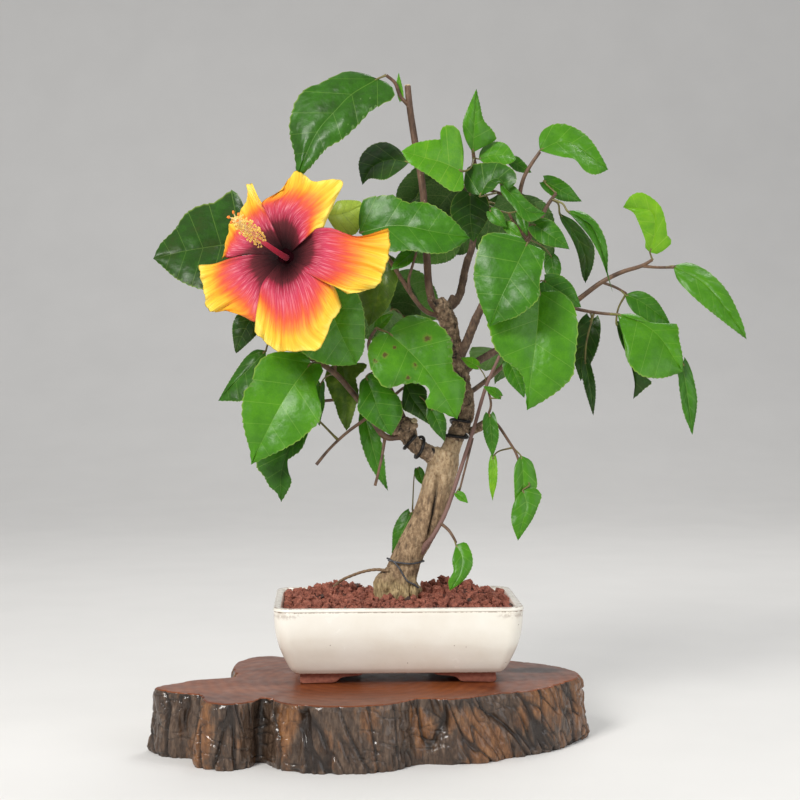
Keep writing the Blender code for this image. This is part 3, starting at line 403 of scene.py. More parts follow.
def joined(shapes):
    """Shapes of (points, faces, further lists) as one."""
    points, faces, *further = ([] for _ in shapes[0])
    for shape_points, shape_faces, *lists in shapes:
        faces += [tuple(i + len(points) for i in face) for face in shape_faces]
        points += shape_points
        for whole, part in zip(further, lists):
            whole += part
    return points, faces, *further


def pot_shell():
    """The glazed shell: its points, its faces, how brown each point is and each face's finish."""
    rows = [Vector(row) for row in POT_BELLY]
    rows = [2 * rows[0] - rows[1], *rows, 2 * rows[-1] - rows[-2]]
    belly = [catmull(*rows[i - 1:i + 3], j / BELLY_STEPS)
             for i in range(1, len(rows) - 2) for j in range(BELLY_STEPS)]
    profile = [*POT_BOTTOM, *belly, POT_BELLY[-1], *POT_BAND]
    points, worn = [], []
    for z, inset, corner in profile:
        for point in round_rect(RIM_HALF[0] - inset, RIM_HALF[1] - inset, corner, z):
            hand = 0.22 * noise.noise(point / 24) + 0.05 * noise.noise(point / 5)
            at_corner = min(1.0, max(0.0, (abs(point.x) - RIM_HALF[0] + 30) / 26)
                            * max(0.0, (abs(point.y) - RIM_HALF[1] + 30) / 26) * 1.6)
            points.append((point + Vector((point.x / RIM_HALF[0], point.y / RIM_HALF[1], 0)) * hand) * MM)
            on_edge = max(math.exp(-((z - 107.35) / 0.42) ** 2), 0.8 * math.exp(-((z - 110.25) / 0.2) ** 2),
                          0.8 * math.exp(-((z - POT_BASE - 0.3) / 0.6) ** 2),
                          0.45 * at_corner * math.exp(-((z - 104.5) / 2.6) ** 2))
            worn.append(on_edge * (0.6 + 0.4 * at_corner) if inset < 19 else 0.0)
    faces = ring_faces(len(profile), len(points) // len(profile))
    return points, faces, worn, [0] * len(faces)


def pot_foot(side):
    """One foot: the scalloped outline drawn from front to back, with its ends a little rounded."""
    points = []
    ends = ((-FOOT_DEEP, 0.9), (-FOOT_DEEP + 0.35, 0.3), (-FOOT_DEEP + 0.9, 0.0))
    rows = [*ends, *((y, 0.0) for y in (-27, -14, 0, 14, 27)), *((-y, inset) for y, inset in reversed(ends))]
    middle = Vector((sum(FOOT_ACROSS) / 2, 4.3))
    for y, inset in rows:
        for across, height in FOOT_OUTLINE:
            way = middle - Vector((across, height))
            x, z = Vector((across, height)) + way.normalized() * inset
            points.append(Vector((side * x, y, SLAB_TOP + GAP + max(0.0, z))) * MM)
    faces = ring_faces(len(rows), len(FOOT_OUTLINE))
    return points, faces, [0.0] * len(points), [1] * len(faces)


@contextmanager
def reshaping(made):
    work = bmesh.new()
    work.from_mesh(made.data)
    yield work
    work.to_mesh(made.data)
    work.free()


def facing_out(made):
    """Turns a closed mesh's faces outwards."""
    with reshaping(made) as work:
        bmesh.ops.recalc_face_normals(work, faces=work.faces)
        if work.calc_volume(signed=True) < 0:
            bmesh.ops.reverse_faces(work, faces=work.faces)
    return made


def cream_glaze():
    finish = Finish("cream_glaze", Roughness=0.22, Coat_Weight=0.4, Coat_Roughness=0.08)
    place = finish.place()
    cloud = finish.noise(place, 30, 3)
    glaze = finish.ramp(cloud, (0.3, (0.83, 0.78, 0.68)), (0.7, (0.89, 0.855, 0.77)))
    few = finish.span(finish.cells(place, 7.0, "Color"), 0.62, 0.66)
    speck = finish.math("MULTIPLY", finish.span(finish.cells(place, 7.0), 0.075, 0.045), few)
    glaze = finish.mix(finish.math("MULTIPLY", speck, 0.8), glaze, (0.16, 0.07, 0.03))
    iron = finish.noise(place, 1.1, 3, 0.6)
    freckle = finish.span(iron, 0.72, 0.78, 0.0, 0.35)
    glaze = finish.mix(freckle, glaze, (0.40, 0.26, 0.13))
    broken = finish.math("MULTIPLY", finish.mark("worn"),
                         finish.span(finish.noise(place, 3.2, 4, 0.7), 0.36, 0.56))
    finish.paint(finish.mix(finish.span(broken, 0.10, 0.75, 0.0, 0.85), glaze, (0.20, 0.10, 0.045)))
    finish.rough(finish.span(cloud, 0.3, 0.7, 0.16, 0.28))
    finish.bump(finish.noise(place, 5, 2), 0.08)
    return finish.material


def grained(name, pattern, stops, relief=None, **sockets):
    """A finish that runs through colours with one noise. Relief is a finer noise and its depth."""
    finish = Finish(name, **sockets)
    finish.paint(finish.ramp(finish.noise(finish.place(), *pattern), *stops))
    if relief:
        finish.bump(finish.noise(finish.place(), *relief[:-1]), relief[-1])
    return finish.material


bare_clay = grained("bare_red_clay", (3.0, 5, 0.65), ((0.3, (0.19, 0.055, 0.034)), (0.7, (0.34, 0.115, 0.072))),
                    (0.8, 4, 0.7, 0.14), Roughness=0.85)
points, faces, worn, kinds = joined([pot_shell(), pot_foot(-1), pot_foot(1)])
pot = facing_out(piece("glazed_pot", points, faces, [cream_glaze(), bare_clay], kinds, {"worn": worn}))
pot.data.set_sharp_from_angle(angle=math.radians(SHARP_EDGE))
belongs("pot_glaze", ["pot"], pot)

# --- The grit -------------------------------------------------------------------------------------
# Crushed red volcanic grit, heaped behind the trunk and lowest along the rim. A bed of it fills the
# pot, and a Geometry Nodes rule scatters loose lumps over the bed, a few of them dark.

WALL = 6.2
SOIL_EDGE, SEAT_Z, SEAT_R = 105.5, 110.7, 29.0
BED_RINGS = 26
BED_DROP = 1.6  # the bed lies this far under the tops of its lumps
LUMPS_FROM = 98.5  # lumps lie on the bed from this height up
LUMP_SHAPES, LUMP_SEED = 9, 11


def soil_height(x, y):
    """The height of the heaped grit, level under the trunk and lowest along the rim."""
    away = clamped((math.hypot(x, y) - SEAT_R) / 22.0)
    edge = max(abs(x) / (RIM_HALF[0] - WALL), abs(y) / (RIM_HALF[1] - WALL))
    heap = 11.5 * math.exp(-(((x - 42) / 36) ** 2) - ((y - 26) / 20) ** 2)
    heap += 9.0 * math.exp(-(((x + 46) / 36) ** 2) - ((y - 24) / 22) ** 2)
    drop = (SEAT_Z - SOIL_EDGE) * edge**2.5
    return SEAT_Z + away * (heap * (1 - edge**5) - drop)


def bed_points():
    outline = round_rect(RIM_HALF[0] - 9.2, RIM_HALF[1] - 9.2, 14.0, 0.0)
    points = [Vector((p.x, p.y, 98.0)) * MM for p in outline]
    for k in range(BED_RINGS, 0, -1):
        for p in outline:
            x, y = p.x * k / BED_RINGS, p.y * k / BED_RINGS
            rough = 0.7 * noise.noise(Vector((x, y, 0)) / 4.5)
            points.append(Vector((x, y, soil_height(x, y) - BED_DROP + rough)) * MM)
    return points, ring_faces(BED_RINGS + 1, len(outline))


def grit_finish(name, shade):
    finish = Finish(name, Roughness=0.95)
    place = finish.place()
    red = finish.ramp(finish.noise(place, 1.3, 5, 0.7), (0.28, (0.105, 0.033, 0.022)),
                      (0.50, (0.33, 0.105, 0.066)), (0.74, (0.56, 0.23, 0.16)))
    dusty = finish.mix(finish.span(finish.noise(place, 7, 2), 0.45, 0.7, 0.0, 0.45), red, (0.38, 0.125, 0.082))
    damp = finish.noise(finish.place(shift=(31, 7, 3)), 5, 2)
    dusty = finish.mix(finish.span(damp, 0.50, 0.34, 0.0, 0.6), dusty, (0.10, 0.030, 0.022))
    finish.paint(finish.mix(shade, dusty, (0.02, 0.007, 0.005)))
    finish.bump(finish.cells(place, 0.9), 0.5)
    finish.bump(finish.noise(place, 0.7, 4, 0.7), 0.3)
    return finish.material


class Rule:
    """A Geometry Nodes tree being put together, with inputs by name."""

    def __init__(self, name):
        self.tree = bpy.data.node_groups.new(name, "GeometryNodeTree")
        for way in ("INPUT", "OUTPUT"):
            self.tree.interface.new_socket("Geometry", in_out=way, socket_type="NodeSocketGeometry")
        self.start = self.tree.nodes.new("NodeGroupInput")
        self.end = self.tree.nodes.new("NodeGroupOutput")
        self.sockets = {}

    def knob(self, name, kind):
        made = self.tree.interface.new_socket(name, in_out="INPUT", socket_type="NodeSocket" + kind)
        self.sockets[name] = made.identifier
        return self.start.outputs[name]

    def add(self, kind, inputs=None, out=0, **settings):
        return add_node(self.tree, kind, inputs, out, settings)

    def smooth(self, geometry):
        return self.add("GeometryNodeSetShadeSmooth", {"Geometry": geometry})

    def finished(self, geometry, finish):
        whole = self.add("GeometryNodeRealizeInstances", {"Geometry": geometry})
        dressed = self.add("GeometryNodeSetMaterial", {"Geometry": whole, "Material": finish})
        self.tree.links.new(dressed, self.end.inputs[0])

    def grow(self, made, **values):
        """Runs the rule on an object, which the result replaces as a plain mesh."""
        modifier = made.modifiers.new("rule", "NODES")
        modifier.node_group = self.tree
        for name, value in values.items():
            modifier[self.sockets[name.replace("_", " ")]] = value
        graph = bpy.context.evaluated_depsgraph_get()
        result = bpy.data.meshes.new_from_object(made.evaluated_get(graph))
        name = made.name
        result.name = name
        bpy.data.objects.remove(made, do_unlink=True)
        return put_in_scene(name, result)


def lump_shapes():
    """Rough lumps of a few dozen faces, kept out of the scene, for the scattering rule to pick from."""
    dice = random.Random(LUMP_SEED)
    pool = bpy.data.collections.new("lumps")
    for k in range(LUMP_SHAPES):
        work = bmesh.new()
        bmesh.ops.create_icosphere(work, subdivisions=2, radius=1.0)
        for vert in work.verts:
            rough = noise.noise(vert.co * 1.3 + Vector((k * 9, 0, 0)))
            rough += noise.noise(vert.co * 3.3 + Vector((0, k * 7, 0)))
            vert.co *= 1 + 0.6 * rough
            vert.co = Vector((vert.co.x, vert.co.y * dice.uniform(0.72, 0.76), vert.co.z * 0.8))
        mesh = bpy.data.meshes.new(f"lump_{k}")
        work.to_mesh(mesh)
        work.free()
        pool.objects.link(bpy.data.objects.new(f"lump_{k}", mesh))
    return pool


def scattering_rule():
    rule = Rule("scatter_lumps")
    space, size, seed = rule.knob("Space", "Float"), rule.knob("Size", "Float"), rule.knob("Seed", "Int")
    shapes, finish = rule.knob("Shapes", "Collection"), rule.knob("Finish", "Material")
    share = rule.knob("Share", "Float")
    spots = rule.add("GeometryNodeDistributePointsOnFaces",
                     {"Mesh": rule.start.outputs[0], "Distance Min": space, "Density Max": 400000.0,
                      "Density Factor": share, "Seed": seed}, distribute_method="POISSON")
    turn = rule.add("FunctionNodeRandomValue", {0: (-3.1, -3.1, -3.1), 1: (3.1, 3.1, 3.1), "Seed": 3},
                    data_type="FLOAT_VECTOR")
    scale = rule.add("FunctionNodeRandomValue", {2: 0.62, 3: 1.25, "Seed": 5}, out=1, data_type="FLOAT")
    scale = rule.add("ShaderNodeMath", {0: scale, 1: size}, operation="MULTIPLY")
    lumps = rule.add("GeometryNodeCollectionInfo", {"Collection": shapes, "Separate Children": True,
                                                    "Reset Children": True})
    placed = rule.add("GeometryNodeInstanceOnPoints", {"Points": spots, "Instance": lumps, "Rotation": turn,
                                                       "Pick Instance": True, "Scale": scale})
    rule.finished(placed, finish)
    return rule


bed_corners, bed_faces = bed_points()
red_grit = grit_finish("red_volcanic_grit", 0.0)
dark_grit = grained("dark_volcanic_grit", (1.2, 4), ((0.3, (0.045, 0.026, 0.022)), (0.7, (0.14, 0.085, 0.07))),
                    (0.6, 4, 0.7, 0.35), Roughness=0.9)
grit_pieces = [facing_out(piece("grit_bed", bed_corners, bed_faces, [grit_finish("shaded_grit", 0.75)]))]
lumps_to_pick = lump_shapes()
scatter = scattering_rule()
for name, finish, lift, seed, space, size, share in (
        ("grit_lumps", red_grit, 0.0, 4, 5.3, 3.3, 1.0), ("grit_top_lumps", red_grit, 2.2, 9, 8.6, 4.2, 0.7),
        ("dark_grit_lumps", dark_grit, 2.2, 23, 32.0, 3.0, 0.6)):
    surface = piece(name, bed_corners, bed_faces[:-2], [])
    with reshaping(surface) as work:
        bmesh.ops.delete(work, geom=[v for v in work.verts if v.co.z < LUMPS_FROM * MM], context="VERTS")
        for vert in work.verts:
            vert.co.z += lift * MM
    grit_pieces.append(scatter.grow(surface, Space=space * MM, Size=size * MM, Seed=seed, Shapes=lumps_to_pick,
                                    Finish=finish, Share=share))
for lump in list(lumps_to_pick.objects):
    bpy.data.objects.remove(lump, do_unlink=True)
belongs("red_grit", ["soil"], *grit_pieces)

# --- The trunk and boughs -------------------------------------------------------------------------
# One piece of live wood, from the swollen root flare to the cut stem at the top. Every limb is a
# tapering round through rows of (across, up, depth, radius) in millimetres, foot to tip; all are
# grown together into one skin, and the bark's relief is then pushed out of it.

FRONT_EYE = (-55.0, -1332.0, 311.0)  # where the tree is seen from: its depths keep the outline seen there
TRUNK = ((-1, 96, -1, 17.0), (0, 110, -1, 15.0), (3, 124, 0, 13.4), (9, 143, 0, 12.0), (18, 160, 0, 12.0),
         (27, 178, 1, 12.6), (34, 202, 1, 12.4), (38, 219, 1, 12.6), (41, 228, 1, 10.0))
LEFT_BOUGH = ((38, 214, 1, 6.5), (30, 223, -5, 7.0), (22, 228, -9, 6.4), (13, 235, -12, 6.6),
              (6, 247, -13, 8.6), (3, 253, -13, 6.5))
LEADER = ((40, 218, 2, 8.0), (47, 238, 1, 7.2), (56, 260, 2, 7.0), (53, 284, 4, 6.4), (47, 308, 4, 6.3),
          (42, 330, 3, 6.9), (36, 343, 3, 7.6), (33, 349, 3, 5.0))
CUT_STEM = ((34, 338, 3, 3.2), (27, 354, 2, 3.2), (24.5, 381, 1, 3.1), (21.5, 434, 0, 2.9),
            (15, 474, 0, 2.8), (11, 500, 0, 2.7), (9, 519, 0, 2.6))
UPPER_BOUGH = ((38, 338, 4, 3.6), (50, 351, 12, 3.4), (56, 377, 16, 3.0), (61, 392, 16, 2.7),
               (63, 420, 14, 2.3))
CENTRE_BOUGH = ((50, 300, 4, 3.8), (58, 319, -4, 3.8), (67, 340, -8, 3.4), (83, 366, -10, 3.0),
                (96, 384, -8, 2.7))
RIGHT_BOUGH = ((51, 288, 4, 3.4), (63, 298, 12, 3.2), (82, 309, 15, 3.0), (108, 324, 14, 2.7),
               (136, 341, 10, 2.4))
ROOTS = (
    ((5, 132, -1, 8.0), (-3, 126, -4, 9.6), (-9, 121, -6, 9.4), (-11, 112, -6, 7.6), (-12, 104, -6, 6.0)),
    ((7, 128, -8, 4.6), (7.6, 119, -14, 2.5), (8.6, 104, -17, 2.0)),
    ((11, 127, -5, 5.2), (13.4, 118, -11, 2.9), (14.6, 104, -14, 2.4)),
    ((6, 124, 4, 7.0), (15, 115, 9, 5.5), (20, 104, 12, 4.0)),
    ((0, 124, 5, 7.0), (-8, 114, 12, 6.0), (-12, 104, 15, 4.0)))
OLD_STUBS = (  # cut and broken ends, and the swellings round them
    ((58, 242, 0, 3.6), (63, 245, -3, 3.3), (69, 247, -6, 3.1)),
    ((36, 340, 1, 5.0), (30, 345, -2, 3.6), (27, 350, -4, 3.0)),
    ((40, 340, 6, 4.6), (44, 347, 8, 3.4), (46, 352, 9, 2.8)),
    ((8, 240, -13, 5.5), (12, 247, -18, 4.4), (14, 251, -20, 3.6)),
    ((4, 246, -13, 6.5), (-3, 246, -17, 5.0), (-6, 249, -19, 3.4)),
    ((50, 262, -2, 5.4), (46, 268, -6, 4.0), (45, 272, -8, 2.6)))
VOXEL = 0.68
SKIN_SMOOTH = 5
GROOVE = ((33.0, 206, -11), (31.4, 189, -11), (29.2, 174, -11), (26.6, 160, -11))
GROOVE_WIDE, GROOVE_DEEP = 2.6, 4.6
FORK_BARK = {"left": 11, "leader": 8}  # the first points of these limbs still wear the trunk's bark


def seen(across, up, depth):
    """The point at this depth that the front view shows at (across, up) in the trunk's plane."""
    reach = (depth - FRONT_EYE[1]) / -FRONT_EYE[1]
    x = FRONT_EYE[0] + (across - FRONT_EYE[0]) * reach
    z = FRONT_EYE[2] + (up - FRONT_EYE[2]) * reach
    return Vector((x, depth, z)) * MM


def open_curve(points, steps):
    ends = [points[0] * 2 - points[1], *points, points[-1] * 2 - points[-2]]
    path = [catmull(*ends[i - 1:i + 3], j / steps) for i in range(1, len(ends) - 2) for j in range(steps)]
    return [*path, points[-1].copy()]


def spread(values, steps):
    return [a + (b - a) * j / steps for a, b in zip(values, values[1:]) for j in range(steps)] + [values[-1]]


def limb_path(rows, steps):
    return open_curve([seen(a, u, d) for a, u, d, _ in rows], steps), spread([r for *_, r in rows], steps)


def frames_along(path):
    """A side and an up vector at each point, carried along the path with no twist."""
    ways = [(b - a).normalized() for a, b in zip([path[0], *path[:-1]], [*path[1:], path[-1]])]
    side = ways[0].orthogonal().normalized()
    frames = []
    for way in ways:
        side = (side - way * side.dot(way)).normalized()
        frames.append((side, way.cross(side)))
    return frames


def toward(side, up, turn):
    """The way out from the middle of a round at this angle."""
    return side * math.cos(turn) + up * math.sin(turn)


def round_limb(path, radii, sides):
    """A closed tapering round, its radii in millimetres."""
    points = []
    for point, radius, (side, up) in zip(path, radii, frames_along(path)):
        points += [point + toward(side, up, math.tau * i / sides) * radius * MM for i in range(sides)]
    return points, ring_faces(len(path), sides)


def grown_together(name, shapes, voxel):
    """One skin round overlapping closed shapes."""
    made = piece(name, *joined(shapes), [])
    skin = made.modifiers.new("skin", "REMESH")
    skin.mode, skin.voxel_size = "VOXEL", voxel * MM
    soften = made.modifiers.new("soften", "SMOOTH")
    soften.factor, soften.iterations = 0.5, SKIN_SMOOTH
    made.data = bpy.data.meshes.new_from_object(made.evaluated_get(bpy.context.evaluated_depsgraph_get()))
    made.modifiers.clear()
    made.data.name = name
    return made


def nearest_on(polyline, place):
    """(distance, share along) of the nearest point of a polyline."""
    best = (1e9, 0.0)
    for k, (a, b) in enumerate(zip(polyline, polyline[1:])):
        along = clamped((place - a).dot(b - a) / (b - a).length_squared)
        best = min(best, ((place - a.lerp(b, along)).length, (k + along) / (len(polyline) - 1)))
    return best


def wood_relief(place, kind):
    """How far the bark stands out, in millimetres, at a place in millimetres on a kind of limb."""
    long, lump, rough = grain(*place, 2.0, 7.5), noise.noise(place / 7), noise.noise(place / 1.5)
    if kind == "trunk":
        flared = clamped((132 - place.z) / 14)
        fibre = noise.noise(Vector((place.x / 1.5, place.y / 1.5, place.z / 6)) + Vector((9, 0, 0)))
        pits = max(0.0, grain(*place, 1.6, 3.2) - 0.15)
        plain = 0.55 * long + 0.6 * lump + 0.28 * rough - 0.7 * pits
        return plain * (1 - 0.3 * flared) + flared * (0.9 * fibre + 0.8 * lump)
    if kind == "gnarled":
        cracks = max(0.0, 1 - abs(noise.noise(place / 6.5)) / 0.11)
        return 1.2 * lump + 0.6 * rough + 0.6 * long - 0.6 * cracks
    if kind == "bough":
        rings = max(0.0, noise.noise(Vector((3.0, place.z / 4.5, place.x / 9))) - 0.2)
        return 0.35 * lump + 0.30 * rough + 0.5 * rings
    return 0.10 * lump + 0.22 * max(0.0, noise.noise(place / 1.3) - 0.25)


LIMBS = {  # the rows, the kind of bark, which finish
    "trunk": (TRUNK, "trunk", 0), "left": (LEFT_BOUGH, "gnarled", 1), "leader": (LEADER, "gnarled", 1),
    "cut": (CUT_STEM, "young", 3), "upper": (UPPER_BOUGH, "bough", 2), "centre": (CENTRE_BOUGH, "bough", 2),
    "right": (RIGHT_BOUGH, "bough", 2)}


def limb_finder():
    """Points down the middle of every limb, each knowing whose it is."""
    found = []
    for label, (rows, *_) in LIMBS.items():
        path, radii = limb_path(rows, 8)
        found += [(point, radius * MM, "trunk" if k < FORK_BARK.get(label, 0) else label)
                  for k, (point, radius) in enumerate(zip(path, radii))]
    for root in ROOTS:
        path, radii = limb_path(root, 4)
        found += [(point, radius * MM, "trunk") for point, radius in zip(path, radii)]
    return found


def make_wood():
    shapes = [round_limb(*limb_path(rows, 5), 18) for rows, *_ in LIMBS.values()]
    shapes += [round_limb(*limb_path(rows, 4), 14) for rows in (*ROOTS, *OLD_STUBS)]
    wood = grown_together("live_wood", shapes, VOXEL)
    mesh = wood.data
    middles = limb_finder()
    lookup = KDTree(len(middles))
    for i, (point, *_) in enumerate(middles):
        lookup.insert(point, i)
    lookup.balance()
    across_up = Vector((1, 0, 1))
    groove = [seen(*row) / MM * across_up for row in GROOVE]
    labels, hollow_shades, moves = [], [], []
    for vert in mesh.vertices:
        near = min(lookup.find_n(vert.co, 6), key=lambda found: found[2] - middles[found[1]][1])
        label = middles[near[1]][2]
        labels.append(label)
        place = vert.co / MM
        relief = wood_relief(place, LIMBS[label][1])
        # Painted shade: the finish darkens the bark where its relief sinks and all down the groove.
        hollow = clamped(0.35 - 0.6 * relief)
        away, share = nearest_on(groove, place * across_up)
        if away < 3 * GROOVE_WIDE and vert.normal.y < 0.1:
            cut = math.exp(-(away / (GROOVE_WIDE * (1.15 - 0.75 * share))) ** 2)
            relief -= GROOVE_DEEP * cut
            hollow = max(hollow, cut)
        hollow_shades.append(hollow)
        moves.append(vert.normal * relief * MM)
    for vert, move in zip(mesh.vertices, moves):
        vert.co += move
        vert.co.z = max(vert.co.z, (SEAT_Z - 3.0) * MM)
    mesh.attributes.new("hollow", "FLOAT", "POINT").data.foreach_set("value", hollow_shades)
    for finish in (trunk_bark(), plain_bark(*OLD_BARK), plain_bark(*BOUGH_BARK), young_bark()):
        mesh.materials.append(finish)
    kinds = []
    for face in mesh.polygons:
        votes = [LIMBS[labels[v]][2] for v in face.vertices]
        kinds.append(max(votes, key=votes.count))
    mesh.polygons.foreach_set("material_index", kinds)
    mesh.shade_smooth()
    return wood


def bark_finish(name, colours, hollow_shade_colour, size, stretch, roughness=0.8):
    """Bark in a run of colours from its darkest to its palest, with painted shade darkening its recesses."""
    finish = Finish(name, Roughness=roughness)
    place = finish.place(stretch)
    streaks = finish.noise(place, size, 5, 0.65)
    stops = [(0.30 + 0.42 * k / (len(colours) - 1), colour) for k, colour in enumerate(colours)]
    bark = finish.ramp(streaks, *stops)
    # Painted shade in the bark's recesses.
    bark = finish.mix(finish.span(finish.mark("hollow"), 0.42, 0.95), bark, hollow_shade_colour)
    finish.bump(finish.noise(place, size * 0.35, 5, 0.7), 0.35)
    return finish, bark


def trunk_bark():
    finish, bark = bark_finish("trunk_bark", ((0.10, 0.058, 0.030), (0.27, 0.175, 0.095), (0.52, 0.37, 0.22)),
                               (0.016, 0.010, 0.007), 3.0, (1, 1, 2.2))
    height = finish.add("SeparateXYZ", {"Vector": finish.place()}, out="Z")
    flare = finish.math("ADD", height, finish.math("MULTIPLY", finish.noise(finish.place(), 5, 2), 16.0))
    pale = finish.ramp(finish.noise(finish.place((1, 1, 4)), 1.6, 4, 0.65), (0.32, (0.10, 0.068, 0.030)),
                       (0.52, (0.42, 0.31, 0.15)), (0.75, (0.62, 0.49, 0.28)))
    worn = finish.ramp(finish.noise(finish.place((1, 1, 1.6)), 2.4, 5, 0.7), (0.34, (0.20, 0.125, 0.062)),
                       (0.50, (0.46, 0.33, 0.19)), (0.70, (0.68, 0.54, 0.36)))
    # The bark turns paler and streaked above about 198 mm, and pale again below about 138 mm over the flare.
    bark = finish.mix(finish.span(flare, 198, 214, 0.0, 0.7), bark, worn)
    bark = finish.mix(finish.span(flare, 138, 128, 0.0, 0.85), bark, pale)
    dots = finish.cells(finish.place((1, 1, 0.7)), 2.6)
    bark = finish.mix(finish.span(dots, 0.17, 0.10, 0.0, 0.6), bark, (0.50, 0.38, 0.24))
    finish.paint(bark)
    return finish.material


OLD_BARK = ("old_bark", ((0.060, 0.036, 0.022), (0.22, 0.145, 0.085), (0.52, 0.38, 0.25)),
            (0.012, 0.008, 0.006), 3.4, (1, 1, 1.2))
BOUGH_BARK = ("bough_bark", ((0.050, 0.030, 0.022), (0.125, 0.074, 0.048), (0.26, 0.17, 0.11)),
              (0.018, 0.011, 0.008), 2.2, (1, 1, 2.5), 0.7)


def plain_bark(*recipe):
    finish, bark = bark_finish(*recipe)
    finish.paint(bark)
    return finish.material


def young_bark():
    colours = (0.055, 0.026, 0.014), (0.120, 0.062, 0.034), (0.21, 0.125, 0.075)
    finish, bark = bark_finish("young_bark", colours, (0.04, 0.02, 0.012), 4.0, (1, 1, 3), 0.5)
    dots = finish.cells(finish.place((1, 1, 1.4)), 2.3)
    finish.paint(finish.mix(finish.span(dots, 0.16, 0.10, 0.0, 0.75), bark, (0.46, 0.35, 0.25)))
    return finish.material


wood = make_wood()
LIMB_NODES = ("trunk", "leader", "left_bough", "cut_stem", "upper_bough", "centre_bough", "right_bough")
belongs("bark", LIMB_NODES, wood)

# The faces where limbs were sawn off: pale pith with a ring of bark, as thin caps on the cut ends.
CUT_ENDS = (  # the cut, the way it faces, radius
    ((9, 519.3, 0), (-0.12, -0.10, 1.0), 2.3), ((69.3, 247.2, -6.2), (0.75, -0.55, 0.30), 2.7),
    ((14.6, 252.2, -20.8), (0.25, -0.75, 0.55), 2.6), ((-6.4, 249.8, -19.6), (-0.6, -0.55, 0.5), 2.2))
CUT_RINGS = ((0.95, -1.2), (1.0, 0.0), (0.86, 0.35), (0.5, 0.22), (0.18, 0.05))  # reach, and lift in millimetres
CUT_SIDES = 16


def cut_faces():
    shapes = []
    for k, (centre, way, radius) in enumerate(CUT_ENDS):
        way = Vector(way).normalized()
        side = way.orthogonal().normalized()
        up = way.cross(side)
        points = []
        for reach, lift in CUT_RINGS:
            for i in range(CUT_SIDES):
                turn = math.tau * i / CUT_SIDES
                uneven = 1 + 0.10 * noise.noise(Vector((math.cos(turn), math.sin(turn), k)))
                out = toward(side, up, turn) * radius * reach * uneven
                points.append(seen(*centre) + (out + way * lift) * MM)
        shapes.append((points, ring_faces(len(CUT_RINGS), CUT_SIDES)))
    return joined(shapes)


PITH = ((0.3, (0.30, 0.20, 0.10)), (0.55, (0.62, 0.49, 0.30)), (0.8, (0.75, 0.63, 0.43)))
pith = grained("cut_pith", (1.2, 4, 0.6), PITH, (0.5, 3, 0.1), Roughness=0.75)
belongs("bark", [], facing_out(piece("cut_ends", *cut_faces(), [pith])))

# --- Training wire and the loose root -------------------------------------------------------------
# Soft dark wire wound round the left bough and the leader while they set, a thin tie round the
# trunk's foot, and one thin root that arches over the grit. A sweeping rule draws each along its path.

WIRE_R, WIRE_CLEAR = 1.3, 0.7
COILS = (  # piece, node, limb, start and end share, turns, first angle
    ("bough_wire", "wire_on_left_bough", LEFT_BOUGH, 0.40, 0.66, 1.6, 1.0),
    ("leader_wire", "wire_on_leader", LEADER, 0.13, 0.24, 1.4, 2.0))
FOOT_TIE = ((-6.5, 140, -9), (2, 138, -13.4), (12, 137, -13.2), (20.5, 138.6, -6), (21, 139.5, 6),
            (8, 141, 12.5), (-5, 141, 7), (-7, 141.5, -3), (-2.5, 139, -11.5), (2, 134, -14.5), (5.5, 128, -15),
            (9, 123, -15.5), (14, 120.5, -15), (18, 117.5, -14))
LOOSE_ROOT = ((-51, 118, 18), (-44, 124, 14), (-35, 128, 7), (-26, 131, -1), (-16, 132.5, -8), (-6, 131.5, -12))


def sweeping_rule():
    """A round section along every curve, as fat as the curve's own radius times Fatness."""
    rule = Rule("sweep_stems")
    sides, fatness = rule.knob("Sides", "Int"), rule.knob("Fatness", "Float")
    finish = rule.knob("Finish", "Material")
    ring = rule.add("GeometryNodeCurvePrimitiveCircle", {"Resolution": sides, "Radius": 1.0})
    radius = rule.add("GeometryNodeInputRadius")
    scale = rule.add("ShaderNodeMath", {0: radius, 1: fatness}, operation="MULTIPLY")
    tube = rule.add("GeometryNodeCurveToMesh", {"Curve": rule.start.outputs[0], "Profile Curve": ring,
                                                "Scale": scale, "Fill Caps": True})
    rule.finished(rule.smooth(tube), finish)
    return rule


sweep = sweeping_rule()
STEM_WELD = 0.004  # points of a stem nearer than this are one


def stems(name, paths, finish, sides):
    """One piece of stems swept along (points, radii in millimetres), by the sweeping rule."""
    curve = bpy.data.curves.new(name, "CURVE")
    curve.dimensions = "3D"
    for points, radii in paths:
        spline = curve.splines.new("POLY")
        spline.points.add(len(points) - 1)
        for spot, point, radius in zip(spline.points, points, radii):
            spot.co, spot.radius = (*point, 1.0), radius
    grown = sweep.grow(put_in_scene(name, curve), Sides=sides, Fatness=MM, Finish=finish)
    with reshaping(grown) as work:
        bmesh.ops.remove_doubles(work, verts=work.verts, dist=STEM_WELD * MM)
    return facing_out(grown)


def coil_path(rows, start, end, turns, from_angle):
    path, radii = limb_path(rows, 12)
    frames = frames_along(path)
    first, last = start * (len(path) - 1), end * (len(path) - 1)
    count = int(turns * 44)
    points = []
    for i in range(count + 1):
        at = first + (last - first) * i / count
        low = min(int(at), len(path) - 2)
        middle = path[low].lerp(path[low + 1], at - low)
        side, up = frames[low]
        turn = from_angle + math.tau * turns * i / count
        reach = (radii[low] * 1.05 + WIRE_R + WIRE_CLEAR - 0.6) * MM
        points.append(middle + toward(side, up, turn) * reach)
    return points, [WIRE_R] * len(points)


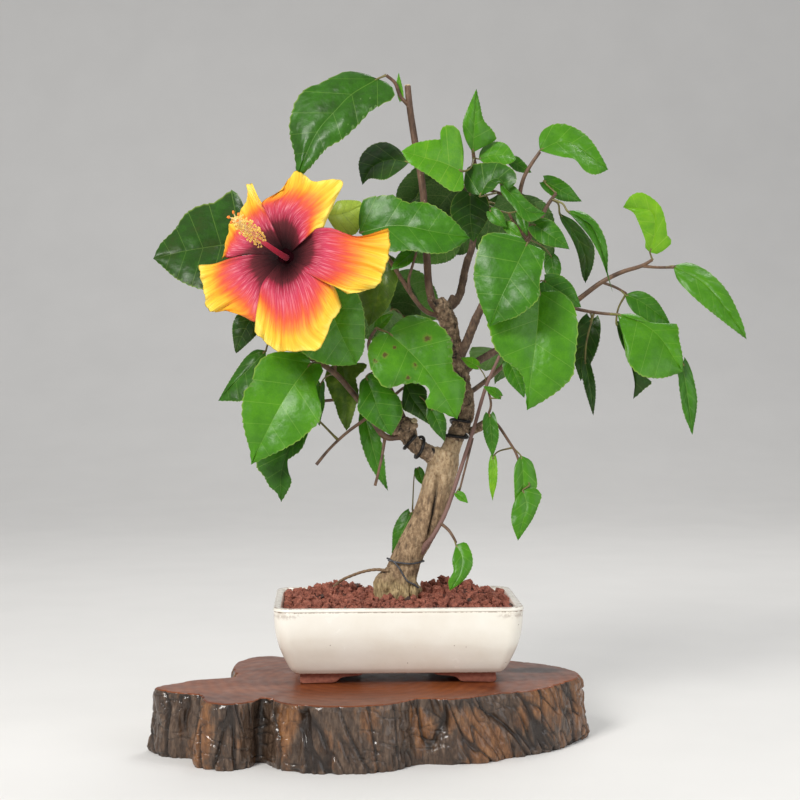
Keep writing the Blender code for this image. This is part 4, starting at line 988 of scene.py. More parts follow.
dark_wire = grained("dark_wire", (2.5, 4), ((0.3, (0.018, 0.017, 0.018)), (0.7, (0.05, 0.047, 0.045))),
                    (0.6, 3, 0.05), Metallic=0.85, Roughness=0.45)
grey_wire = grained("grey_tie_wire", (3, 3), ((0.3, (0.06, 0.062, 0.07)), (0.7, (0.15, 0.15, 0.16))),
                    (0.8, 3, 0.04), Metallic=0.7, Roughness=0.55)
root_skin = grained("loose_root_skin", (1.6, 5, 0.7), ((0.3, (0.10, 0.055, 0.03)), (0.7, (0.34, 0.23, 0.13))),
                    (0.7, 4, 0.15), Roughness=0.8)
for name, node, rows, *wound in COILS:
    belongs("training_wire", [node], stems(name, [coil_path(rows, *wound)], dark_wire, 12))
tie_path = open_curve([seen(*p) for p in FOOT_TIE], 7)
belongs("training_wire", [], stems("foot_tie", [(tie_path, [0.75] * len(tie_path))], grey_wire, 8))
root_path = open_curve([seen(*p) for p in LOOSE_ROOT], 8)
root_fat = [1.2 + 0.12 * math.sin(1.9 * i) for i in range(len(root_path))]
belongs("bark", [], stems("loose_root", [(root_path, root_fat)], root_skin, 10))

# --- Shoots and leaves ----------------------------------------------------------------------------
# Each mass of foliage is one stem out of its bough, with side twigs, and leaves on thin stalks. The
# leaves are thin, toothed and quilted between their veins; one that would touch another piece grows
# a little nearer or further off. Shoots are swept along their paths, and leaves are joined by kind.

LOBE_BACK, BASE_WIDTH = 0.07, 0.03
SEAT_DEEP = 1.5
LEAST_STALK, SHORT_STALK = 4.0, 12.0
PETIOLE_R = 0.9
DEPTH_TRIES = (0, -5, 5, -10, 10, -16, 16, -23, 23, -30, 30)
# Tints, as places on the leaves' green ramp. The darkest is painted shade, for leaves that lie in shadow; the
# palest is a pale yellow-green leaf with painted light shining through it.
SHADED_DARK, DEEP, MID, FRESH, BRIGHT, YELLOW, OLIVE, PALE_AND_BACKLIT = 0.23, 0.32, 0.43, 0.54, 0.66, 0.76, 0.0, -0.15

BLOOM_TWIG = ((-1, 236, -14, 2.6), (-10, 240, -18, 2.6), (-23, 259, -24, 2.4), (-37, 277, -26, 2.3),
              (-49, 290, -27, 2.3), (-62, 299, -27, 2.2), (-77, 307, -27, 2.1), (-86, 324, -27, 2.0))
# A mass: the limb that carries it, its twigs of (across, up, depth, radius), and its leaves of (base,
# tip, width, turn about its own line, arch, tint). A leaf that faces front also has its outline, across
# and up: where it starts, where it ends, and between them one margin, the other and the midrib.
MASSES = {
    "bloom_shoot": (
        "left_bough",
        (BLOOM_TWIG, ((-77, 307, -27, 1.7), (-92, 322, -10, 1.6), (-108, 350, 2, 1.5), (-119, 380, 6, 1.3)),
         ((-49, 290, -27, 1.6), (-50, 312, -24, 1.4), (-54, 336, -26, 1.3), (-58, 352, -30, 1.2)),
         ((-21, 256, -23, 1.4), (-39, 243, -26, 1.2), (-53, 230, -30, 1.1), (-64, 217, -33, 1.3)),
         ((-9, 239, -17, 1.4), (-11, 226, -22, 1.2), (-14, 212, -24, 1.1), (-17, 200, -24, 1.2))),
        (((-123, 394, 2), (-192, 381, -8), 68, 8, 0.07, SHADED_DARK,
          (), (-193, 381), (-122, 403, -120, 419, -128, 435, -136, 432, -144, 426, -157, 423, -168, 416, -176,
          404, -187, 393), (-122, 387, -127, 368, -139, 356, -152, 356, -165, 360, -176, 366, -187, 376), (-123,
          394, -144, 391, -168, 387)),
         ((-67, 298, -34), (-115, 217, -48), 62, -6, 0.07, FRESH,
          (-68, 298), (-116, 217), (-73, 307, -86, 307, -98, 307, -109, 300, -114, 290, -115, 283, -121, 276,
          -123, 265, -123, 254, -120, 239, -117, 229), (-61, 298, -58, 293, -62, 284, -65, 277, -61, 268, -60,
          258, -62, 251, -70, 243, -80, 235, -95, 227, -106, 222), (-80, 283, -92, 265, -104, 242)),
         ((-77, 258, -14), (-92, 188, -26), 38, 12, 0.05, DEEP,
          (-76, 254), (-92, 187), (-90, 245, -105, 230, -112, 217, -106, 208, -101, 199, -96, 195), (-70, 248,
          -71, 240, -76, 229, -82, 224, -87, 220, -86, 211, -84, 202), (-86, 230, -92, 210)),
         ((-107, 311, -6), (-142, 268, -14), 30, 15, 0.05, DEEP,
          (-104, 308), (-142, 268), (-112, 309, -120, 303, -128, 292, -136, 279), (-105, 290, -114, 274, -123,
          268, -133, 268), (-118, 293, -131, 280)),
         ((-112, 340, 8), (-128, 306, 6), 22, 10, 0.05, SHADED_DARK),
         ((-57, 356, -42), (-31, 296, -54), 48, -8, 0.06, FRESH,
          (-57, 356), (-32, 297), (-67, 351, -75, 334, -77, 320, -76, 308, -67, 301, -55, 297, -43, 296), (-43,
          359, -32, 355, -26, 340, -25, 323, -26, 308), (-48, 330, -40, 312)),
         ((-37, 300, -8), (-39, 244, -14), 34, 14, 0.05, OLIVE,
          (-43, 298), (-40, 244), (-54, 295, -57, 286, -53, 274, -49, 265, -46, 255), (-24, 298, -26, 292, -32,
          286, -30, 274, -33, 261, -37, 248), (-41, 283, -40, 262)),
         ((-60, 282, -10), (-63, 248, -14), 11, 30, 0.03, MID),
         ((-55, 410, 0), (-28, 424, 2), 26, 15, 0.04, PALE_AND_BACKLIT,
          (-56, 416), (-27, 424), (-50, 422, -47, 427, -37, 428, -29, 427), (-50, 406, -43, 401, -35, 400, -30,
          404, -27, 416), (-47, 416, -37, 419)))),
    "top_leaves": (
        "cut_stem", (((5.6, 503, -1, 1.6), (3, 511, -3, 1.5), (-1, 521, -5, 1.4), (-8, 527, -6, 1.3)),),
        (((-16, 525, -6), (-79, 452, -22), 58, 6, 0.09, DEEP,
          (-15, 524), (-79, 446), (-24, 528, -39, 530, -50, 526, -61, 520, -72, 516, -80, 506, -83, 497, -85,
          488, -84, 476, -81, 464), (-5, 520, -1, 512, -4, 507, -13, 503, -21, 498, -27, 491, -34, 484, -43,
          476, -55, 469, -63, 460, -71, 451), (-35, 512, -48, 499, -64, 480)),
         ((4, 507, -2), (1, 529, -3), 5, 0, 0.0, BRIGHT))),
    "upper_leaves": (
        "upper_bough",
        (((63, 421, 14, 2.2), (63.5, 432, 12, 2.1), (64, 447, 8, 1.9), (62, 462, 4, 1.6), (61, 470, 0, 1.3)),
         ((63.5, 432, 12, 1.6), (52, 440, 10, 1.4), (36, 447, 8, 1.3), (16, 456, 8, 1.2)),
         ((64, 440, 9, 1.5), (76, 436, -4, 1.4), (86, 433, -14, 1.2))),
        (((53, 452, -24), (4, 468, -36), 52, -10, 0.06, BRIGHT,
          (53, 451), (4, 467), (54, 464, 53, 473, 50, 484, 43, 488, 37, 486, 35, 481, 38, 477, 27, 476, 14,
          473), (54, 443, 53, 436, 43, 436, 27, 447, 11, 457), (37, 458, 22, 462)),
         ((61, 471, -4), (64, 519, -8), 27, 20, 0.05, FRESH,
          (61, 466), (64, 517), (55, 477, 53, 489, 57, 501), (74, 473, 80, 477, 77, 484, 70, 492, 67, 504), (62,
          482, 63, 499)),
         ((68, 460, -2), (97, 470, -4), 22, -20, 0.05, FRESH,
          (66, 461), (96, 461), (67, 467, 72, 473, 81, 475, 89, 472), (72, 457, 83, 456, 92, 458), (77, 464, 87,
          464)),
         ((90, 461, 16), (108, 450, 18), 11, 10, 0.03, MID),
         ((65, 432, -22), (97, 454, -30), 27, -15, 0.08, DEEP,
          (67, 432), (89, 436), (57, 435, 54, 444, 58, 455, 70, 458, 83, 458, 94, 452, 96, 443), (77, 436, 83,
          442), (74, 443, 83, 445)),
         ((87, 438, -28), (120, 419, -36), 24, 20, 0.1, MID,
          (83, 442), (120, 418), (94, 440, 102, 431, 111, 423), (84, 434, 92, 425, 102, 413, 111, 412), (94,
          431, 106, 419)),
         ((59, 434, 16), (60, 395, 18), 30, 10, 0.06, SHADED_DARK),
         ((7, 460, 10), (-29, 440, 12), 32, 25, 0.06, SHADED_DARK,
          (10, 458), (-27, 440), (3, 468, -8, 474, -19, 472, -27, 465, -30, 457, -29, 448), (5, 453, -5, 446,
          -11, 444, -21, 445), (-5, 460, -19, 454)))),
    "upper_right_leaves": (
        "centre_bough",
        (((97, 386.5, -8, 2.6), (103, 394, -9, 2.4), (107, 402, -9, 2.2), (102, 418, -8, 1.9),
          (99, 432, -8, 1.8), (102, 446, -10, 1.6), (108, 457, -12, 1.5), (115, 467, -13, 1.3)),
         ((106, 400, -9, 1.9), (114, 411, -6, 1.8), (121, 424, -4, 1.6), (128, 434, -2, 1.3)),
         ((105, 397, -9, 1.5), (96, 408, -16, 1.4), (90, 418, -20, 1.2))),
        (((116, 468, -13), (171, 452, -26), 34, -5, 0.08, FRESH,
          (115, 468), (170, 453), (114, 478, 118, 485, 126, 489, 136, 489, 149, 483, 158, 474, 166, 461), (121,
          466, 132, 463, 143, 461, 151, 452, 160, 449), (130, 475, 143, 473)),
         ((118, 444, 4), (148, 426, 8), 15, 20, 0.06, MID),
         ((133, 421, 10), (150, 361, 14), 25, 15, 0.06, SHADED_DARK,
          (131, 418), (152, 362), (132, 412, 141, 397, 146, 384, 149, 369), (143, 412, 153, 401, 159, 391, 158,
          376), (145, 399, 152, 382)),
         ((138, 422, -10), (174, 353, -20), 27, -18, 0.09, MID,
          (137, 420), (174, 355), (151, 405, 160, 391, 166, 378), (148, 420, 159, 413, 167, 400, 170, 386, 170,
          371), (156, 408, 165, 388)),
         ((110, 409, -24), (138, 388, -32), 19, 10, 0.1, MID),
         ((124, 384, 0), (128, 359, -4), 13, 15, 0.04, MID),
         ((75, 420, -24), (88, 406, -30), 11, 20, 0.08, MID),
         ((87, 409, -24), (101, 399, -30), 9, 15, 0.08, FRESH),
         ((99, 420, -20), (105, 400, -26), 9, 10, 0.05, MID))),
    "centre_leaves": (
        "centre_bough",
        (((83, 362, -14.4, 1.9), (88, 364, -24, 1.8), (98, 372, -36, 1.6), (104, 382, -46, 1.4),
          (103, 394, -54, 1.2)),
         ((92, 366, -28, 1.5), (102, 362, -38, 1.4), (112, 358, -42, 1.3)),
         ((88, 364, -22, 1.2), (92, 340, -16, 1.1), (90, 302, -14, 1.0))),
        (((103, 394, -58), (74, 328, -70), 56, 6, 0.1, MID,
          (105, 394), (75, 327), (100, 399, 87, 402, 74, 402, 67, 395, 62, 371, 64, 356, 69, 341), (119, 388,
          118, 378, 115, 363, 115, 352, 109, 344, 96, 335, 83, 331), (94, 371, 83, 348)),
         ((113, 355, -44), (105, 260, -62), 70, -5, 0.07, FRESH,
          (115, 355), (105, 260), (94, 352, 74, 335, 76, 320, 78, 312, 86, 301, 98, 292, 103, 282), (130, 356,
          142, 346, 145, 335, 146, 324, 144, 303, 142, 288, 132, 277, 119, 268), (113, 324, 109, 292)),
         ((118, 364, -30), (148, 342, -34), 22, 10, 0.06, MID),
         ((90, 301, -14), (103, 270, -18), 15, 10, 0.05, MID))),
    "right_leaves": (
        "right_bough",
        (((138.5, 342.5, 9.5, 2.3), (150, 352, 4, 2.1), (165, 363, -2, 1.9), (181, 371, -6, 1.8),
          (197, 376, -8, 1.6), (206, 381, -9, 1.2)),
         ((197, 376, -8, 1.3), (210, 375, -10, 1.2), (224, 375, -12, 1.1)),
         ((139, 343, 9, 1.6), (152, 340, 2, 1.4), (166, 338, -6, 1.3), (179, 337, -12, 1.2)),
         ((165, 363, -2, 1.2), (176, 359, 4, 1.1), (185, 354, 6, 1.0))),
        (((201, 387, -12), (181, 424, -18), 32, -30, 0.06, YELLOW,
          (204, 387), (182, 423), (200, 391, 200, 397, 194, 412, 190, 419), (211, 386, 222, 395, 218, 401, 217,
          410, 213, 423, 205, 431, 196, 435, 188, 432), (208, 405, 204, 420)),
         ((224, 375, -12), (282, 317, -40), 28, -8, 0.07, FRESH,
          (223, 376), (283, 317), (235, 379, 251, 372, 267, 356, 279, 332), (227, 364, 243, 348, 263, 332),
          (247, 363, 265, 343)),
         ((185, 354, 4), (221, 328, -4), 27, 10, 0.06, MID,
          (184, 353), (221, 329), (192, 356, 200, 355, 209, 349, 216, 339), (186, 346, 192, 338, 205, 330),
          (196, 348, 209, 339)),
         ((179, 337, -14), (236, 288, -28), 46, -5, 0.06, FRESH,
          (178, 337), (231, 291), (188, 338, 198, 335, 209, 328, 222, 330, 227, 328, 228, 318, 231, 303), (179,
          333, 187, 329, 184, 318, 185, 303, 191, 293, 200, 287, 215, 286), (196, 331, 213, 318)),
         ((230, 299, -18), (237, 240, -26), 16, -25, 0.05, MID),
         ((177, 334, 16), (192, 268, 14), 24, 15, 0.05, SHADED_DARK,
          (177, 332), (191, 269), (178, 324, 181, 314, 188, 299, 192, 282), (185, 329, 188, 312, 196, 290, 206,
          283, 200, 277), (183, 314, 192, 290)),
         ((157, 334, 20), (146, 284, 20), 21, 10, 0.06, SHADED_DARK),
         ((152, 300, 4), (161, 256, 0), 9, 20, 0.05, SHADED_DARK))),
    "left_centre_leaves": (
        "leader",
        (((31.2, 334, -1, 2.0), (23, 340, -4, 1.9), (12, 353, -4, 1.8), (-8, 384, -2, 1.6),
          (-22, 398, -6, 1.4), (-28, 406, -12, 1.2)),
         ((12, 353, -4, 1.3), (10, 364, -10, 1.2), (13, 376, -14, 1.1), (16, 386, -16, 1.0))),
        (((-28, 407, -16), (61, 399, -36), 46, 8, 0.07, MID,
          (-29, 402), (59, 398), (-30, 414, -26, 429, -15, 431, -3, 432, 9, 426, 17, 427, 30, 424, 43, 415, 53,
          405), (-18, 392, -5, 387, 11, 388, 24, 386, 38, 386, 49, 391), (0, 408, 30, 403)),
         ((-9, 388, 10), (-22, 327, 8), 30, 12, 0.05, OLIVE,
          (-11, 387), (-22, 327), (-24, 384, -31, 371, -29, 348), (1, 380, 1, 364, -7, 342), (-13, 364, -17,
          344)),
         ((15, 388, -8), (-4, 372, -14), 14, 10, 0.04, FRESH))),
    "low_left_leaves": (
        "left_bough",
        (((4, 258.5, -13, 2.0), (0, 268, -15, 1.9), (-8, 284, -18, 1.8), (-18, 300, -22, 1.6),
          (-22, 314, -28, 1.4), (-16, 326, -34, 1.2)),
         ((-2, 272, -16, 1.3), (4, 277, -20, 1.1), (7, 279, -22, 1.0)),
         ((-8, 284, -18, 1.3), (-18, 283, -14, 1.2), (-24, 278, -10, 1.1))),
        (((-7, 324, -42), (49, 252, -56), 64, 0, 0.07, FRESH,
          (-6, 322), (49, 253), (-10, 325, -14, 322, -21, 314, -23, 305, -21, 295, -16, 286, -8, 278, 4, 281,
          15, 282, 23, 280, 27, 276, 25, 270, 23, 267, 26, 262, 33, 260), (-2, 329, 5, 334, 14, 337, 24, 335,
          34, 329, 42, 321, 45, 312, 45, 301, 46, 292, 55, 284, 55, 274, 52, 262), (9, 309, 24, 293, 37, 274)),
         ((7, 279, -26), (27, 248, -32), 28, 8, 0.05, SHADED_DARK,
          (7, 283), (28, 248), (5, 274, 5, 262, 11, 258, 18, 254), (17, 282, 24, 277, 25, 267, 29, 261, 29,
          254), (12, 271, 20, 260)),
         ((-23, 286, -34), (-3, 242, -42), 28, -6, 0.06, MID,
          (-24, 287), (-4, 240), (-29, 283, -30, 271, -31, 261, -26, 255, -17, 248), (-18, 290, -8, 280, 2, 271,
          5, 261, 4, 254), (-18, 271, -13, 257)),
         ((-25, 256, -4), (-8, 195, -12), 15, 15, 0.06, MID),
         ((28, 262, -30), (40, 236, -34), 13, 10, 0.04, DEEP),
         ((-16, 326, -30), (-2, 338, -34), 9, 0, 0.04, FRESH))),
    "low_right_leaves": (
        "foot_shoot",
        (((65.8, 246, -14.6, 1.4), (72, 252, -17, 1.3), (80, 250, -20, 1.2), (90, 236, -22, 1.1),
          (97, 224, -24, 1.0), (102, 206, -24, 0.9)),
         ((72, 252, -17, 1.1), (76, 264, -14, 1.0), (74, 276, -10, 0.9)),
         ((61.5, 238, -13, 1.0), (57.5, 222, -16, 0.9), (53.2, 205, -18, 0.85), (50.4, 194, -18, 0.8))),
        (((97, 223, -24), (98, 187, -30), 20, -20, 0.06, FRESH,
          (100, 224), (98, 172), (95, 214, 95, 196, 96, 182), (109, 219, 113, 206, 112, 195), (102, 211, 102,
          192)),
         ((109, 196, -26), (98, 155, -34), 25, -12, 0.07, FRESH,
          (102, 196), (98, 155), (97, 191, 93, 180, 93, 169), (111, 198, 117, 192, 114, 182, 109, 171), (105,
          184, 102, 171)),
         ((75, 257, -24), (78, 222, -28), 12, 20, 0.05, MID),
         ((78, 223, -16), (79, 187, -20), 7, 20, 0.04, YELLOW),
         ((66, 295, -26), (52, 303, -28), 9, 0, 0.04, BRIGHT),
         ((84, 271, -24), (70, 280, -26), 8, 0, 0.04, FRESH),
         ((48, 194, -21), (58, 186, -24), 7, 0, 0.04, FRESH))),
    "foot_leaf_right": (
        "foot_shoot", (((38.6, 168, -17, 1.3), (42, 164, -20, 1.2), (46, 158, -24, 1.1), (48, 154, -28, 1.0)),),
        (((48, 154, -30), (41, 113, -44), 24, -8, 0.08, FRESH,
          (48, 152), (43, 115), (45, 140, 46, 131, 42, 123), (56, 154, 61, 144, 61, 134, 54, 123), (53, 142, 51,
          128)),)),
    "foot_leaf_back": (
        "trunk", (((18, 175, 15.6, 1.3), (16, 179, 20, 1.2), (13, 180, 22, 1.0)),),
        (((12, 178, 22), (-2, 144, 20), 16, 14, 0.06, MID),
         ((17, 214, 20), (22, 200, 20), 8, 10, 0.04, MID))),
}
# Behind the limbs a rule fills the crown: a stem, the space (lowest and highest across, up and depth)
# that its leaves keep to, how many, and a seed.
GOLDEN, GOLDEN_SHARE, BACK_TRIES = math.radians(137.5), 0.618, 60
FRONT_FACING, BACK_FACING = (0.0, -0.88, 0.47), (0.0, 0.78, 0.62)
BACK_MASSES = {
    "back_left_leaves": (
        "leader", ((49, 300, 11.4, 2.2), (47, 302, 18, 2.1), (32, 312, 30, 2.0), (6, 334, 42, 1.8),
                   (-26, 356, 54, 1.6), (-58, 372, 58, 1.3)), ((-145, 310, 12), (64, 446, 104)), 10, 5),
    "back_low_leaves": (
        "leader", ((53, 262, 11, 2.0), (40, 266, 26, 1.9), (8, 266, 40, 1.7), (-28, 270, 48, 1.5),
                   (-58, 268, 52, 1.3)), ((-112, 254, 12), (54, 348, 96)), 8, 8),
    "back_right_leaves": (
        "leader", ((57, 272, 11.8, 2.2), (72, 284, 28, 2.0), (96, 304, 42, 1.8), (124, 322, 52, 1.6),
                   (146, 330, 54, 1.3)), ((62, 276, 12), (152, 392, 104)), 9, 3),
    "back_top_leaves": (
        "upper_bough", ((57, 374, 20.4, 2.0), (60, 388, 34, 1.9), (64, 412, 46, 1.7), (68, 438, 50, 1.4),
                        (70, 452, 50, 1.2)), ((-14, 370, 12), (138, 488, 100)), 10, 9),
}
BUILT_FIRST = ("display_slab", "pot", "soil", *LIMB_NODES, "foot_shoot", "wire_on_left_bough",
               "wire_on_leader", "bloom")
SPOTTED = ("low_left_leaves", 0)

VEIN_FOOT = 0.26  # the rows up to this one all start where the stalk meets the blade
VEINS = (0.26, 0.43, 0.58, 0.72, 0.85)
FEW_VEINS = (0.26, 0.52, 0.76)
LEAF_COLUMNS = (0.22, 0.42, 0.62, 0.82, 1.0)
SMALL_LEAF = 30.0  # one shorter than this has fewer veins
SHEET = 0.34  # how thick a leaf is
BLADE_FOLD = 14.0  # degrees that each half of a leaf is folded up along its midrib


def thin_sheet(rows, columns, place, way, thick, pointed=False):
    """Both sides of a closed thin sheet over a grid of rows and columns, the last row a single point
    where it is pointed. place gives each spot and its marks, which come back as one list a mark."""
    points, faces, marks, index = [], [], [], {}
    for side, r, c in product((1, -1), range(rows), range(columns)):
        at_edge = r in (0, rows - 1) or c in (0, columns - 1)
        first = (1, r, 0 if pointed and r == rows - 1 else c)
        if at_edge and first in index:
            index[side, r, c] = index[first]
            continue
        spot, *mark = place(r, c)
        index[side, r, c] = len(points)
        points.append(spot if at_edge else spot + way * side * thick / 2 * MM)
        marks.append(mark)
    for side, r, c in product((1, -1), range(rows - 1), range(columns - 1)):
        ring = [index[side, r + i, c + j] for i, j in ((0, 0), (0, 1), (1, 1), (1, 0))]
        faces.append(tuple([i for k, i in enumerate(ring) if i != ring[k - 1]][::-side]))
    return points, faces, *map(list, zip(*marks))


def surface_of(points, faces):
    return BVHTree.FromPolygons([tuple(p) for p in points], [tuple(f) for f in faces])


def blade_width(share):
    return math.sqrt(share + BASE_WIDTH) * (1 - share) / 0.39


class Blade:
    """Where a leaf lies: an ovate blade, arched along its midrib and folded a little along it."""

    def __init__(self, base, tip, width, turn, arch, facing):
        self.base, self.tip = seen(*base), seen(*tip)
        self.width = width * MM
        self.arch, self.fold = arch, math.radians(BLADE_FOLD)
        self.along = (self.tip - self.base).normalized()
        self.length = (self.tip - self.base).length
        face = Vector(facing)
        face = (face - self.along * face.dot(self.along)).normalized()
        side = self.along.cross(face)
        self.face = toward(face, side, math.radians(turn))
        self.side = self.along.cross(self.face)

    def point(self, share, across, lift=0.0):
        half = 0.5 * self.width * blade_width(share)
        back = LOBE_BACK * self.length * across**2 * (1 - share) ** 4
        rise = self.arch * self.length * 4 * share * (1 - share) + abs(across) * half * math.sin(self.fold)
        return (self.base + self.along * (share * self.length - back)
                + self.side * (across * half * math.cos(self.fold)) + self.face * (rise + lift * MM))

    def body(self):
        """The room it takes up, as a plain thick lens."""
        points, faces = [], []
        for share in (0.0, 0.22, 0.48, 0.76):
            points += [self.point(share, -1), self.point(share, 0, 0.75), self.point(share, 0, -0.75),
                       self.point(share, 1)]
        points.append(self.point(1.0, 0))
        for a, b in ((0, 4), (4, 8), (8, 12)):
            faces += [(a, a + 1, b + 1, b), (a + 1, a + 3, b + 3, b + 1), (a + 3, a + 2, b + 2, b + 3),
                      (a + 2, a, b, b + 2)]
        faces += [(12, 13, 16), (13, 15, 16), (15, 14, 16), (14, 12, 16), (1, 0, 2), (3, 1, 2)]
        return points, [t for f in faces for t in ((f[:3], (f[0], f[2], f[3])) if len(f) == 4 else (f,))]


def stalk_path(blade, joint):
    end = blade.point(0.1, 0)
    if (blade.base - joint).length < SHORT_STALK * MM:
        return [joint, end]
    return [joint, blade.base.lerp(joint, 0.3) - blade.along * 0.12 * (blade.base - joint).length, end]


def is_clear(surface, others):
    return not any(surface.overlap(other) for other in others)


def on_plane(across, up, origin, normal, height):
    """The point seen at (across, up) that stands this high over a plane, in millimetres."""
    eye = Vector(FRONT_EYE)
    ray = Vector((across, 0.0, up)) - eye
    return eye + ray * ((height + (origin - eye).dot(normal)) / ray.dot(normal))


class Run:
    """A smooth line through flat points, read by the share of its length."""

    def __init__(self, points):
        self.line = open_curve([Vector((*p, 0.0)) for p in points], 6)
        self.far = [0.0]
        for a, b in zip(self.line, self.line[1:]):
            self.far.append(self.far[-1] + (b - a).length)

    def at(self, share):
        want = share * self.far[-1]
        low = max(0, min(bisect(self.far, want) - 1, len(self.line) - 2))
        return self.line[low].lerp(self.line[low + 1], (want - self.far[low]) /
                                   (self.far[low + 1] - self.far[low]))


class Outline:
    """A leaf's own margins and midrib, laid over its blade."""

    def __init__(self, blade, start, end, *lines):
        flat = [(*start, *line, *end) for line in lines]
        *runs, self.midrib = [Run(zip(line[::2], line[1::2])) for line in flat]
        self.blade = blade
        middle = self.on_blade(self.midrib.at(0.5), 0.0)
        high = (self.on_blade(runs[0].at(0.5), 0.0) - middle).dot(blade.side) > 0
        self.margins = {1: runs[0 if high else 1], -1: runs[1 if high else 0]}

    def on_blade(self, flat, height):
        return on_plane(flat.x, flat.y, self.blade.base / MM, self.blade.face, height)


def row_shares(blade):
    """Where the rows of a leaf start and which strips between them are veins."""
    small = blade.length < SMALL_LEAF * MM
    veins = FEW_VEINS if small else VEINS
    half = 0.17 * MM / blade.length
    rows, strips, before = [0.0], set(), 0.0
    for vein in (*veins, 1.0):
        parts = 3 if small else 6 if vein < 0.3 else 5
        rows += [before + (vein - before) * k / parts for k in range(1, parts)]
        if vein < 1.0:
            strips.add(len(rows))
            rows += [vein - half * (1.5 - vein), vein + half * (1.5 - vein)]
        before = vein
    return [*rows, 1.0], strips, veins


def leaf_mesh(blade, tint, seed, outline, spotted):
    """One leaf as a closed thin sheet: (points, faces, kinds, tints, acrosses)."""
    rows, strips, veins = row_shares(blade)
    size = blade.length / MM
    dice = random.Random(seed)
    phases = [dice.uniform(0, math.tau) for _ in range(4)]
    waves, ruffle = dice.uniform(1.3, 2.4), dice.uniform(0.008, 0.018) * size
    curl = dice.uniform(0.10, 0.34)
    pits = Vector((dice.uniform(0, 50), 0, 0))
    columns = (*(-c for c in reversed(LEAF_COLUMNS)), "left", 0.0, "right", *LEAF_COLUMNS)
    last_row, last_column = len(rows) - 1, len(columns) - 1

    def place(r, c):
        row = rows[r]
        start, end = max(0.0, (row - VEIN_FOOT) / (1 - VEIN_FOOT)), row**0.88
        across = columns[c]
        sign = -1 if across == "left" or (across != "right" and across < 0) else 1
        if outline:
            middle, margin = outline.midrib.at(start), outline.margins[sign].at(end)
            half = max((margin - middle).length, 0.05)
        else:
            half = max(0.5 * blade.width * blade_width(start) / MM, 0.05)
        if isinstance(across, str):
            across = max(-0.2, min(0.2, sign * (0.10 + 0.0035 * size * (1 - start)) / half))
            share = start
        else:
            share = start + (end - start) * (0.72 * abs(across) + 0.28 * across**2)
        nearest = min(veins, key=lambda v: abs(v - row))
        between = min(1.0, abs(row - nearest) / (0.5 * (1.0 - veins[-1] if row > veins[-1] else 0.13)))
        inner = min(1.0, (1 - abs(across)) * 2.5) * min(1.0, abs(across) * 4.5)
        lift = 0.0045 * size * math.sin(0.5 * math.pi * between) * inner - (0.22 if abs(across) < 0.1 else 0.0)
        lift += ruffle * across**2 * math.sin(math.tau * waves * share + phases[0] + (1.9 if sign > 0 else 0))
        lift += 0.012 * size * math.sin(3.1 * share + phases[1]) * across
        dimple = noise.noise(Vector((9 * share, 2.2 * across, 0)) + pits)
        lift += 0.010 * size * dimple * min(1.0, abs(across) * 5)
        lift -= curl * across**2 * min(half, 30.0)
        edge = abs(across) == 1.0 and share > 0.22 and 0 < r < last_row
        tooth = ((0.009, -0.007)[r % 2] * size * (1 - 0.55 * share)) if edge else 0.0
        if outline:
            flat = middle.lerp(margin, abs(across)) + (margin - middle).normalized() * tooth
            rise = blade.arch * size * 4 * share * (1 - share) + abs(across) * half * math.sin(blade.fold)
            return outline.on_blade(flat, rise + lift) * MM, abs(across)
        bend = 0.05 * size * math.sin(2.6 * share + phases[2]) * share**2
        fuller = (1 + 0.20 * math.sin(math.pi * min(1.0, share / 0.95)) ** 2 * share)
        spot = blade.point(share, across * fuller, lift)
        return spot + blade.side * (bend + sign * tooth) * MM, abs(across)

    points, faces, acrosses = thin_sheet(len(rows), len(columns), place, blade.face, SHEET, True)
    kinds, middle = [], len(columns) // 2
    for side, r, c in product((1, -1), range(last_row), range(last_column)):
        is_vein = r in strips or c in (middle - 1, middle)
        kinds.append((1 if is_vein else 3 if spotted else 0) if side > 0 else 4 if is_vein else 2)
    return points, faces, kinds, [tint] * len(points), acrosses


def back_rows(stem, space, count, seed):
    dice = random.Random(seed)
    rows = []
    for i in range(BACK_TRIES):
        share = 0.3 + 0.7 * (i * GOLDEN_SHARE % 1)
        at = share * (len(stem) - 1)
        low = min(int(at), len(stem) - 2)
        start = [p + (q - p) * (at - low) for p, q in zip(stem[low][:3], stem[low + 1][:3])]
        turn = GOLDEN * i + seed
        way = Vector((math.cos(turn), 0.55 * math.sin(turn), 0.35 + 0.45 * abs(math.sin(turn))))
        stalk, length = dice.uniform(12, 34), dice.uniform(50, 72)
        base = Vector(start) + way.normalized() * stalk
        tip = base + (way.normalized() + Vector((0, -0.85, 0.1))).normalized() * length
        reach = [base, tip, (base + tip) / 2]
        if all(low <= value <= high for p in reach for low, value, high in zip(space[0], p, space[1])):
            rows.append((tuple(base), tuple(tip), length * dice.uniform(0.7, 0.8), dice.uniform(-25, 25), 0.07,
                         (DEEP, MID, FRESH, SHADED_DARK)[i % 4]))
    return rows[:count]


